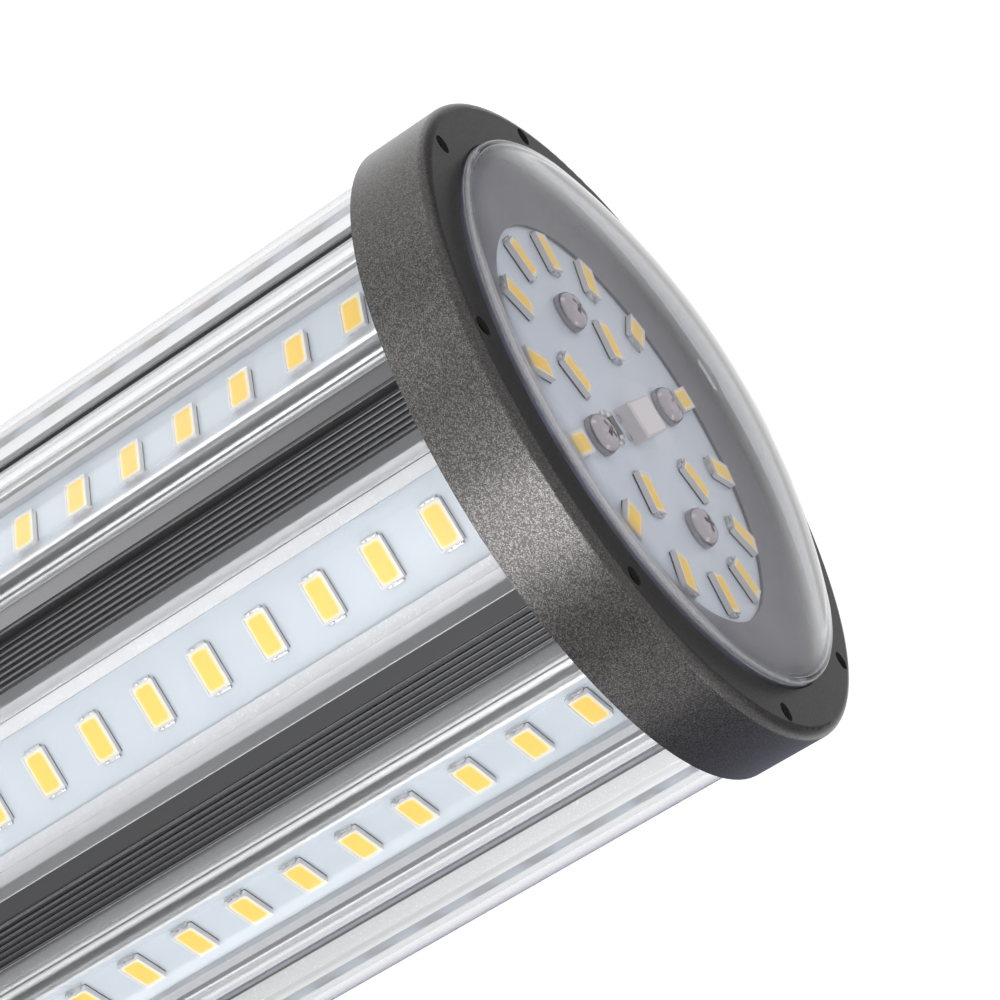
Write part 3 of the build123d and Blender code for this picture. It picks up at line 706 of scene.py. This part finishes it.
def phosphor():
    """Cast yellow window with round corners, deepest in its middle and paler to its rim, with a
    faint painted glow.
    """
    finish = settings().lamp_finishes
    led = settings().lamp_leds
    material, tree, shader, where = new_material("Phosphor yellow")
    surface = add(tree, "ShaderNodeUVMap", {}, uv_map="window")
    place = split(tree, surface.outputs["UV"])
    past = []
    for axis, length in (("X", led.window_length), ("Y", led.window_width)):
        from_middle = maths(tree, "ABSOLUTE", maths(tree, "SUBTRACT", place[axis], 0.5))
        reach = maths(tree, "MULTIPLY", from_middle, length)
        over = maths(tree, "SUBTRACT", reach, length / 2 - led.window_corner)
        past.append(maths(tree, "MAXIMUM", over, 0.0))
    inset = maths(tree, "SUBTRACT", distance(tree, *past), led.window_corner)
    rim = ramp(tree, inset, -0.5 * MM, -0.02 * MM)
    outside = ramp(tree, inset, -0.13 * MM, 0.01 * MM)
    texture = grain(tree, where, 2600.0, 500.0)
    cloud = maths(tree, "MULTIPLY", texture.outputs["Mottle"], 0.3)
    middle = blend(tree, cloud, colour(finish.phosphor), (0.96, 0.58, 0.065, 1))
    fill = blend(tree, rim, middle, colour(finish.phosphor_edge))
    base = blend(tree, outside, fill, colour(finish.package))
    # Painted glow: the window's colour also emits faintly, standing in for light.
    lit = blend(tree, outside, fill, BLACK)
    set_shader(tree, shader, base=base, roughness=0.45, emission=lit, glow=0.06)
    relief(tree, shader, texture.outputs["Height"], 0.1, 0.02 * MM)
    return material


def tinned_metal():
    """Soldered terminal, silvery and uneven."""
    material, tree, shader, where = new_material("Tinned terminal")
    texture = grain(tree, where, 3800.0, 1500.0)
    dull, bright = (0.3, 0.3, 0.3, 1), (0.86, 0.86, 0.87, 1)
    base = blend(tree, texture.outputs["Mottle"], dull, bright)
    set_shader(tree, shader, base=base, metallic=1.0, roughness=0.3)
    relief(tree, shader, texture.outputs["Height"], 0.5, 0.05 * MM)
    return material


MATERIALS = {}


def material(name):
    """A finished material by its plain name, built once."""
    if name not in MATERIALS:
        MATERIALS[name] = MAKERS[name]()
    return MATERIALS[name]


MAKERS = {
    "powder coat": powder_coat,
    "ribbed aluminium": ribbed_aluminium,
    # Each clear plastic's second colour is the painted shade it takes at a low angle.
    "cover": lambda: clear_plastic(
        "Clear cover", (0.97, 0.975, 0.98), (0.45, 0.46, 0.54), 1.4, lip=7.0 * MM
    ),
    "dome": lambda: clear_plastic(
        "Clear dome", (0.94, 0.94, 0.965), (0.38, 0.4, 0.48), 1.3,
        rim_top=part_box("end_ring")[1].z + 1.25 * MM,
    ),
    "board": lambda: plain_finish(
        "Board white", tuple(settings().lamp_finishes.board), 0.34,
        scale=900.0, strength=0.08, vary=0.04,
    ),
    "phosphor": phosphor,
    "terminal": tinned_metal,
    "package": lambda: plain_finish(
        "Package white", tuple(settings().lamp_finishes.package), 0.45, strength=0.08, vary=0.04
    ),
    # Dark colour of the foot, painted shadow under each package.
    "foot": lambda: plain_finish("Package foot", (0.03, 0.03, 0.032), 0.6),
    "screw black": lambda: plain_finish(
        "Black screw", (0.012, 0.012, 0.012), 0.16, metallic=0.6, strength=0.15, coat=0.6
    ),
    "screw steel": lambda: plain_finish(
        "Coated steel", (0.46, 0.425, 0.435), 0.2,
        metallic=1.0, scale=900.0, strength=0.3, vary=0.35,
    ),
    "trim": lambda: plain_finish("Trim grey", (0.09, 0.084, 0.1), 0.35, strength=0.1),
    "silicone": lambda: plain_finish("Silicone", (0.16, 0.17, 0.19), 0.5),
    "connector": lambda: plain_finish("Connector cream", (0.8, 0.74, 0.74), 0.42),
    "chip": lambda: plain_finish("Chip black", (0.05, 0.055, 0.055), 0.35),
    "housing": lambda: plain_finish(
        "Housing black", (0.022, 0.022, 0.023), 0.42, scale=1800.0, strength=0.35
    ),
    "circuit green": lambda: plain_finish("Board green", (0.03, 0.16, 0.06), 0.35),
    "ferrite": lambda: plain_finish("Ferrite", (0.05, 0.05, 0.052), 0.6),
    "can": lambda: plain_finish("Capacitor sleeve", (0.03, 0.07, 0.28), 0.3),
    "lead": lambda: plain_finish("Lead insulation", (0.5, 0.03, 0.02), 0.4),
    "nickel": lambda: plain_finish(
        "Nickelled brass", (0.72, 0.69, 0.64), 0.2,
        metallic=1.0, scale=1500.0, strength=0.08, vary=0.15,
    ),
    "insulator": lambda: plain_finish("Insulator", (0.02, 0.02, 0.024), 0.25),
    "plate": lambda: plain_finish(
        "Turned plate", (0.72, 0.73, 0.74), 0.36, metallic=1.0, strength=0.2, vary=0.1
    ),
}

NODE_FINISHES = {
    "end_ring": "powder coat",
    "rear_ring": "powder coat",
    "dome_lens": "dome",
    "dome_seal": "silicone",
    "housing_seal": "silicone",
    "heat_sink": "ribbed aluminium",
    "head_plate": "plate",
    "rear_plate": "plate",
    "head_plate_screws": "screw steel",
    "rear_plate_screws": "screw steel",
    "board_trim": "trim",
    "head_board": "board",
    "link_board": "board",
    "wire_connector": "connector",
    "chip_resistor": "chip",
    "driver_housing": "housing",
    "driver_board": "circuit green",
    "driver_transformer": "ferrite",
    "driver_choke": "ferrite",
    "driver_capacitor": "can",
    "supply_leads": "lead",
    "link_leads": "lead",
    "cap_leads": "lead",
    "cap_insulator": "insulator",
    "centre_contact": "nickel",
}
for number in range(1, SIDES + 1):
    NODE_FINISHES[f"strip_board_{number}"] = "board"
    NODE_FINISHES[f"strip_cover_{number}"] = "cover"


# LED packages

def package_template():
    """One LED package on its base: a dark foot as its painted shadow line, white body with a sunk
    window, end terminals.
    """
    led = settings().lamp_leds
    body_length = led.length - 2 * led.terminal
    rise = led.height - led.foot
    upright_round, wall_lean, solder_round = 0.16 * MM, 0.1 * MM, 0.06 * MM
    bm = bmesh.new()
    block(bm, (body_length, led.width, rise), (0, 0, led.foot + rise / 2))
    uprights = [
        edge for edge in bm.edges if abs(edge.verts[0].co.z - edge.verts[1].co.z) > rise / 2
    ]
    round_edges(bm, uprights, upright_round)
    bmesh.ops.recalc_face_normals(bm, faces=bm.faces)
    top = max(bm.faces, key=lambda face: face.calc_center_median().z)
    margin = (led.width - led.window_width) / 2
    bmesh.ops.inset_region(bm, faces=[top], thickness=margin, depth=0)
    narrow = led.window_length / (body_length - 2 * margin)
    bmesh.ops.scale(bm, vec=(narrow, 1, 1), verts=list(top.verts))
    bmesh.ops.inset_region(bm, faces=[top], thickness=wall_lean, depth=-led.window_depth)
    bmesh.ops.delete(bm, geom=[top], context="FACES_ONLY")
    # A dark foot, a little wider than the body, paints the shadow line under the package.
    shadow_foot_size = (body_length - 0.2 * MM, led.width + 0.03 * MM, led.foot)
    block(bm, shadow_foot_size, (0, 0, led.foot / 2), material=1)
    reach = led.terminal + 0.1 * MM
    tab_size = (reach, led.width * 0.74, 0.42 * MM)
    bead_size = (reach * 0.7, led.width * 0.22, 0.2 * MM)
    for end in (-1, 1):
        middle = end * (led.length / 2 - reach / 2)
        block(bm, tab_size, (middle, 0, 0.21 * MM), solder_round, material=2)
        for side in (-1, 1):
            spot = (middle, side * led.width * 0.22, 0.48 * MM)
            block(bm, bead_size, spot, solder_round, material=2)
    bm.normal_update()
    return to_mesh(bm, "package")


def window_template():
    """The yellow fill of one package, slightly crowned, with a UV map across it."""
    led = settings().lamp_leds
    bm = bmesh.new()
    bmesh.ops.create_grid(bm, x_segments=8, y_segments=5, size=0.5)
    layer = bm.loops.layers.uv.new("window")
    for face in bm.faces:
        for loop in face.loops:
            spot = loop.vert.co
            loop[layer].uv = (spot.x + 0.5, spot.y + 0.5)
    level = led.height - led.window_depth
    crown, gap = led.window_depth * 0.7, 0.16 * MM
    for vert in bm.verts:
        fall = max(abs(vert.co.x), abs(vert.co.y)) * 2
        vert.co.z = level + crown * (1 - fall**2)
        vert.co.x *= led.window_length - gap
        vert.co.y *= led.window_width - gap
    return to_mesh(bm, "window")


def strip_places(side):
    """Places of one strip's packages."""
    led = settings().lamp_leds
    return [
        side_place(side, led.first - index * led.pitch, led.board_out)
        for index in range(led.per_strip)
    ]


# Bearing and turn of each inner package, in degrees
INNER_PACKAGES = ((-125.5, 19.5), (-49.5, -18.5), (42.5, 19.5), (140.5, -18.5))


def head_places():
    """Places of the head board's packages: the ring, then the four inside it."""
    led = settings().lamp_leds
    top = board_top()
    places = on_circle(led.ring_count, led.ring_circle, FIRST_SIDE, top)
    for angle, turn in INNER_PACKAGES:
        bearing = math.radians(angle)
        spot = Vector((math.cos(bearing), math.sin(bearing), 0)) * led.inner_circle
        spot.z = top
        places.append(Matrix.Translation(spot) @ Matrix.Rotation(math.radians(turn), 4, "Z"))
    return places


class LAMP_OT_packages(bpy.types.Operator):
    """Set the LED packages with their terminals on every board."""

    bl_idname = "lamp.packages"
    bl_label = "LED packages"

    def execute(self, context):
        template = package_template()
        finishes = [material("package"), material("foot"), material("terminal")]
        for side in range(SIDES):
            name, node = f"packages_{side + 1}", f"strip_leds_{side + 1}"
            spread(name, template, strip_places(side), finishes, [node])
        spread("packages_head", template, head_places(), finishes, ["head_board_leds"])
        return {"FINISHED"}


class LAMP_OT_windows(bpy.types.Operator):
    """Fill every package with its yellow window."""

    bl_idname = "lamp.windows"
    bl_label = "Phosphor windows"

    def execute(self, context):
        template = window_template()
        yellow = [material("phosphor")]
        for side in range(SIDES):
            spread(f"windows_{side + 1}", template, strip_places(side), yellow)
        spread("windows_head", template, head_places(), yellow)
        return {"FINISHED"}


# Screws and cap

# Radius and height along each head's outline, as shares of the head's own
PAN_OUTLINE = (
    (0, 1), (0.45, 0.985), (0.72, 0.9), (0.9, 0.7), (0.985, 0.42), (1, 0.15), (0.97, 0), (0, 0)
)
RING_OUTLINE = ((0, 1), (0.4, 0.96), (0.7, 0.82), (0.9, 0.6), (1, 0.3), (1, 0), (0, 0))


def screw_head(outline, radius, height, steps):
    """A turned screw head, its seat at height zero."""
    profile = [(radius * across, height * up) for across, up in outline]
    return finish_mesh(lathe(profile, steps), "screw head")


def pan_screw_template():
    """Pan-head screw with a cross recess that narrows to its foot."""
    screw = settings().lamp_screws
    radius, height = screw.pan_radius, screw.pan_height
    head = screw_head(PAN_OUTLINE, radius, height, 32)
    arm, half = radius * 0.62, screw.cross_width / 2
    corners = [(arm, -half), (arm, half), (half, half)]
    outline = []
    for quarter in range(4):
        turn = Matrix.Rotation(quarter * math.pi / 2, 2)
        outline += [turn @ Vector(corner) for corner in corners]
    bm = bmesh.new()
    rings = []
    for share, level in ((0.4, height - screw.cross_depth), (1, height * 1.2)):
        ring = [bm.verts.new((spot.x * share, spot.y * share, level)) for spot in outline]
        bm.faces.new(ring)
        rings.append(ring)
    low, high = rings
    for index in range(len(outline)):
        after = (index + 1) % len(outline)
        bm.faces.new((low[index], low[after], high[after], high[index]))
    return cut(head, finish_mesh(bm, "cross"), "pan screw")


def ring_screw_template():
    """Small domed screw with a six-sided key recess."""
    screw = settings().lamp_screws
    height = screw.ring_height
    head = screw_head(RING_OUTLINE, screw.ring_radius, height, 24)
    key, key_foot = screw.hex_radius, screw.hex_radius * 0.9
    bm = bmesh.new()
    bmesh.ops.create_cone(
        bm, cap_ends=True, segments=6, radius1=key_foot, radius2=key, depth=height
    )
    bmesh.ops.translate(bm, vec=(0, 0, height), verts=bm.verts)
    return cut(head, finish_mesh(bm, "key"), "ring screw")


class LAMP_OT_board_screws(bpy.types.Operator):
    """Put the cross-recessed screws on the head board."""

    bl_idname = "lamp.board_screws"
    bl_label = "Board screws"

    def execute(self, context):
        screw = settings().lamp_screws
        places = on_circle(4, screw.pan_circle, FIRST_SIDE, board_top())
        first, between = 25, 31
        turned = [
            place @ Matrix.Rotation(math.radians(first + between * index), 4, "Z")
            for index, place in enumerate(places)
        ]
        steel = [material("screw steel")]
        template = pan_screw_template()
        spread("cross_screws", template, turned, steel, ["head_board_screws"])
        return {"FINISHED"}


class LAMP_OT_ring_screws(bpy.types.Operator):
    """Put the small black screws in both end rings."""

    bl_idname = "lamp.ring_screws"
    bl_label = "Ring screws"

    def execute(self, context):
        screw = settings().lamp_screws
        template = ring_screw_template()
        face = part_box("end_ring")[1].z
        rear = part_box("rear_ring")[0].z
        first = FIRST_SIDE + STEP / 2
        front = on_circle(SIDES, screw.ring_circle, first, face - screw.ring_sink)
        back = on_circle(SIDES, screw.ring_circle, first, rear + screw.ring_sink)
        back = [place @ Matrix.Rotation(math.pi, 4, "X") for place in back]
        black = [material("screw black")]
        spread("key_screws_front", template, front, black, ["end_ring_screws"])
        spread("key_screws_rear", template, back, black, ["rear_ring_screws"])
        return {"FINISHED"}


class LAMP_OT_cap(bpy.types.Operator):
    """Roll the screw cap's thread."""

    bl_idname = "lamp.cap"
    bl_label = "Screw cap"

    def execute(self, context):
        screw = settings().lamp_screws
        low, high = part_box("screw_shell")
        radius = high.x
        rows, steps = 96, 96
        straight = low.z + 2.0 * MM
        thread_end = high.z - 1.6 * MM
        run_out = 1.5 * MM
        profile = [(radius - 2.0 * MM, low.z), (radius - 0.9 * MM, low.z + 0.7 * MM)]
        profile += [
            (radius, straight + (high.z - straight) * row / rows) for row in range(rows + 1)
        ]
        bm = lathe(profile, steps)
        for vert in bm.verts:
            height = vert.co.z - straight
            if height <= 0:
                continue
            angle = math.atan2(vert.co.y, vert.co.x)
            phase = height / screw.thread_pitch - angle / math.tau
            fade = min(1, height / run_out) * min(1, max(0, (thread_end - vert.co.z) / run_out))
            shrink = 1 - fade * screw.thread_depth * (1 - math.cos(math.tau * phase)) / 2 / radius
            vert.co.x *= shrink
            vert.co.y *= shrink
        mesh = finish_mesh(bm, "threaded_shell", sharp=60)
        shell = make_object("threaded_shell", mesh, [material("nickel")])
        wall = shell.modifiers.new("Wall", "SOLIDIFY")
        wall.thickness = screw.shell_wall
        wall.offset = -1
        ride(shell, ["screw_shell"])
        return {"FINISHED"}


class LAMP_OT_solder(bpy.types.Operator):
    """Solder the chip resistor's ends and the connector's tabs to the head board."""

    bl_idname = "lamp.solder"
    bl_label = "Solder joints"

    def execute(self, context):
        bm = bmesh.new()
        low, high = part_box("chip_resistor")
        middle = (low + high) / 2
        width, height = high.y - low.y, high.z - low.z
        end_size = (0.5 * MM, width + 0.04 * MM, height + 0.03 * MM)
        fillet_size = (0.6 * MM, width + 0.3 * MM, 0.22 * MM)
        for end, edge in ((-1, low.x), (1, high.x)):
            spot = (edge - end * 0.2 * MM, middle.y, middle.z + 0.015 * MM)
            block(bm, end_size, spot, 0.08 * MM)
            spot = (edge + end * 0.3 * MM, middle.y, low.z + 0.11 * MM)
            block(bm, fillet_size, spot, 0.1 * MM)
        low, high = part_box("wire_connector")
        tab_size = (0.9 * MM, 0.7 * MM, 0.25 * MM)
        for edge, side in ((low.y, -1), (high.y, 1)):
            for across in (-1.2 * MM, 1.2 * MM):
                along = (low.x + high.x) / 2 + across
                spot = (along, edge + side * 0.3 * MM, low.z + 0.125 * MM)
                block(bm, tab_size, spot, 0.1 * MM)
        mesh = finish_mesh(bm, "solder_joints")
        ride(make_object("solder_joints", mesh, [material("terminal")]))
        return {"FINISHED"}


class LAMP_OT_finishes(bpy.types.Operator):
    """Give every solid of the lamp its finish."""

    bl_idname = "lamp.finishes"
    bl_label = "Finishes"

    def execute(self, context):
        for node, finish in NODE_FINISHES.items():
            mesh = NODES[node].data
            mesh.materials.clear()
            mesh.materials.append(material(finish))
        return {"FINISHED"}


# Studio

def area_light(name, place, target, size, power):
    """A soft oblong lamp that faces a point."""
    data = bpy.data.lights.new(name, "AREA")
    data.shape = "RECTANGLE"
    data.size, data.size_y = size
    data.energy = power
    lamp = bpy.data.objects.new(name, data)
    lamp.location = place
    lamp.rotation_euler = (Vector(place) - target).to_track_quat("Z", "Y").to_euler()
    bpy.context.scene.collection.objects.link(lamp)


def reflected_only(piece):
    """Hide a piece from every ray but a mirror's."""
    for kind in ("camera", "diffuse", "transmission", "shadow", "volume_scatter"):
        setattr(piece, f"visible_{kind}", False)


def seen_white(tree):
    """One where a camera, mirror or glass ray looks, and zero elsewhere."""
    rays = tree.nodes.new("ShaderNodeLightPath")
    direct = maths(tree, "MAXIMUM", rays.outputs["Is Camera Ray"], rays.outputs["Is Glossy Ray"])
    return maths(tree, "MAXIMUM", direct, rays.outputs["Is Transmission Ray"])


def set_world():
    """An even pale world, plain white where it is seen."""
    world = bpy.data.worlds.new("Studio")
    bpy.context.scene.world = world
    world.use_nodes = True
    tree = world.node_tree
    tree.nodes.clear()
    studio = settings().lamp_studio
    strength = maths(tree, "MAXIMUM", seen_white(tree), studio.ambient)
    back = add(tree, "ShaderNodeBackground", {"Color": WHITE, "Strength": strength})
    end = tree.nodes.new("ShaderNodeOutputWorld")
    tree.links.new(back.outputs[0], end.inputs["Surface"])


def set_floor():
    """A plain pale floor just under the lamp, white where it is only background."""
    radius, gap = 6.0, 0.2 * MM
    bm = bmesh.new()
    bmesh.ops.create_circle(bm, cap_ends=True, segments=64, radius=radius)
    bmesh.ops.translate(bm, vec=(0, 0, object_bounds()[0].z - gap), verts=bm.verts)
    finish, tree, shader, _ = new_material("Floor pale")
    set_shader(tree, shader, base=grey(0.88), roughness=0.9)
    strength = maths(tree, "MULTIPLY", seen_white(tree), 0.5)
    glow = add(tree, "ShaderNodeEmission", {"Color": WHITE, "Strength": strength})
    show(tree, add(tree, "ShaderNodeAddShader", {0: shader.outputs[0], 1: glow.outputs[0]}))
    make_object("floor", to_mesh(bm, "floor"), [finish])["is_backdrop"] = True


def set_flag():
    """A dim panel behind the lamp, brighter to its foot, that only reflections see."""
    bm = bmesh.new()
    bmesh.ops.create_grid(bm, x_segments=1, y_segments=1, size=0.5)
    bmesh.ops.scale(bm, vec=(2.4, 1.5, 1.0), verts=bm.verts)
    upright = Matrix.Rotation(math.pi / 2, 3, "X")
    bmesh.ops.rotate(bm, cent=(0, 0, 0), matrix=upright, verts=bm.verts)
    bmesh.ops.translate(bm, vec=(0, 0.9, 0.95), verts=bm.verts)
    finish, tree, _, where = new_material("Flag")
    height = split(tree, where)["Z"]
    level = ramp(tree, height, 0.2, 0.55, 1.0, settings().lamp_studio.flag_level)
    show(tree, add(tree, "ShaderNodeEmission", {"Color": WHITE, "Strength": level}))
    flag = make_object("flag", to_mesh(bm, "flag"), [finish])
    reflected_only(flag)
    flag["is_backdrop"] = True


def set_card(name, first, last, near, far, hue=WHITE):
    """A fan on the floor between two bearings in degrees that only reflections see."""
    inner, outer, lift, steps = 0.05, 0.9, 1 * MM, 8
    soft_edge, surround = math.radians(7), 1.05
    bm = bmesh.new()
    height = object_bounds()[0].z + lift
    rows = []
    for reach in (inner, outer):
        row = []
        for step in range(steps + 1):
            bearing = math.radians(first + (last - first) * step / steps)
            spot = (reach * math.cos(bearing), reach * math.sin(bearing), height)
            row.append(bm.verts.new(spot))
        rows.append(row)
    for step in range(steps):
        bm.faces.new((rows[0][step], rows[1][step], rows[1][step + 1], rows[0][step + 1]))
    finish, tree, _, where = new_material(name)
    place = split(tree, where)
    away = distance(tree, place["X"], place["Y"])
    middle = math.radians((first + last) / 2)
    half = math.radians((last - first) / 2)
    toward_x = maths(tree, "MULTIPLY", place["X"], math.cos(middle))
    toward_y = maths(tree, "MULTIPLY", place["Y"], math.sin(middle))
    near_middle = maths(tree, "DIVIDE", maths(tree, "ADD", toward_x, toward_y), away)
    inside = ramp(tree, near_middle, math.cos(half), math.cos(half - soft_edge))
    level = blend(tree, ramp(tree, away, 0.3, 0.55), grey(near, hue), grey(far, hue))
    shown = blend(tree, inside, grey(surround), level)
    show(tree, add(tree, "ShaderNodeEmission", {"Color": shown, "Strength": 1.0}))
    card = make_object(name, to_mesh(bm, name), [finish])
    reflected_only(card)
    card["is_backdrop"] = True


def set_camera():
    """The camera, at the photograph's angle."""
    studio = settings().lamp_studio
    level = math.cos(studio.elevation)
    back = Vector((
        math.sin(studio.azimuth) * level,
        -math.cos(studio.azimuth) * level,
        math.sin(studio.elevation),
    ))
    turn = Matrix.Rotation(studio.roll, 4, back) @ back.to_track_quat("Z", "Y").to_matrix().to_4x4()
    data = bpy.data.cameras.new("camera")
    data.lens = studio.lens
    data.sensor_width = 36.0
    data.sensor_fit = "AUTO"
    data.clip_start = 10 * MM
    camera = bpy.data.objects.new("camera", data)
    camera.matrix_world = Matrix.Translation(studio.eye) @ turn
    bpy.context.scene.collection.objects.link(camera)
    bpy.context.scene.camera = camera


class LAMP_OT_stage(bpy.types.Operator):
    """Set the floor, the lights and the camera."""

    bl_idname = "lamp.stage"
    bl_label = "Stage"

    def execute(self, context):
        studio = settings().lamp_studio
        target = Vector((0, 0, 0.15))
        set_world()
        set_floor()
        set_flag()
        set_card("left card", 203, 233, studio.card_near, studio.card_far)
        set_card("front card", 240, 306, 1.05, 2.3)
        set_card("lower card", 304, 334, 0.45, 0.6)
        set_card("right card", 334, 352, studio.card_near, 0.6)
        set_card("dark card", -6, 98, 1.0, 1.0, (0.24, 0.25, 0.32))
        area_light("key", (0.11, -0.55, 0.06), target, (0.28, 0.2), studio.key_power)
        area_light("top", (0.1, 0.25, 0.75), target, (0.5, 0.5), studio.top_power)
        area_light("left", (-0.7, 0.0, 0.3), target, (0.25, 0.7), studio.side_power)
        area_light("right", (0.7, -0.1, 0.3), target, (0.25, 0.7), studio.side_power)
        context.scene.view_settings.view_transform = "Standard"
        set_camera()
        return {"FINISHED"}


class LAMP_PT_panel(bpy.types.Panel):
    """Sizes, finishes and the steps that make the lamp."""

    bl_idname = "LAMP_PT_panel"
    bl_label = "Ribbed LED lamp"
    bl_space_type = "VIEW_3D"
    bl_region_type = "UI"
    bl_category = "Lamp"

    def draw(self, context):
        layout = self.layout
        for group_name, group in GROUPS.items():
            box = layout.box()
            for name in group.__annotations__:
                box.prop(getattr(context.scene, group_name), name)
        for operator in OPERATORS:
            layout.operator(operator.bl_idname)


OPERATORS = [
    LAMP_OT_packages,
    LAMP_OT_windows,
    LAMP_OT_board_screws,
    LAMP_OT_ring_screws,
    LAMP_OT_cap,
    LAMP_OT_solder,
    LAMP_OT_finishes,
    LAMP_OT_stage,
]
GROUPS = {
    "lamp_leds": LedSizes,
    "lamp_screws": ScrewSizes,
    "lamp_finishes": Finishes,
    "lamp_studio": Studio,
}


def register():
    for name, group in GROUPS.items():
        bpy.utils.register_class(group)
        setattr(bpy.types.Scene, name, PointerProperty(type=group))
    for operator in OPERATORS:
        bpy.utils.register_class(operator)
    bpy.utils.register_class(LAMP_PT_panel)


def unregister():
    bpy.utils.unregister_class(LAMP_PT_panel)
    for operator in reversed(OPERATORS):
        bpy.utils.unregister_class(operator)
    for name, group in reversed(list(GROUPS.items())):
        delattr(bpy.types.Scene, name)
        bpy.utils.unregister_class(group)


def main():
    """Make the lamp's looks and its stage."""
    register()
    bpy.ops.lamp.packages()
    bpy.ops.lamp.windows()
    bpy.ops.lamp.board_screws()
    bpy.ops.lamp.ring_screws()
    bpy.ops.lamp.cap()
    bpy.ops.lamp.solder()
    bpy.ops.lamp.finishes()
    bpy.ops.lamp.stage()


if __name__ == "__main__":
    main()
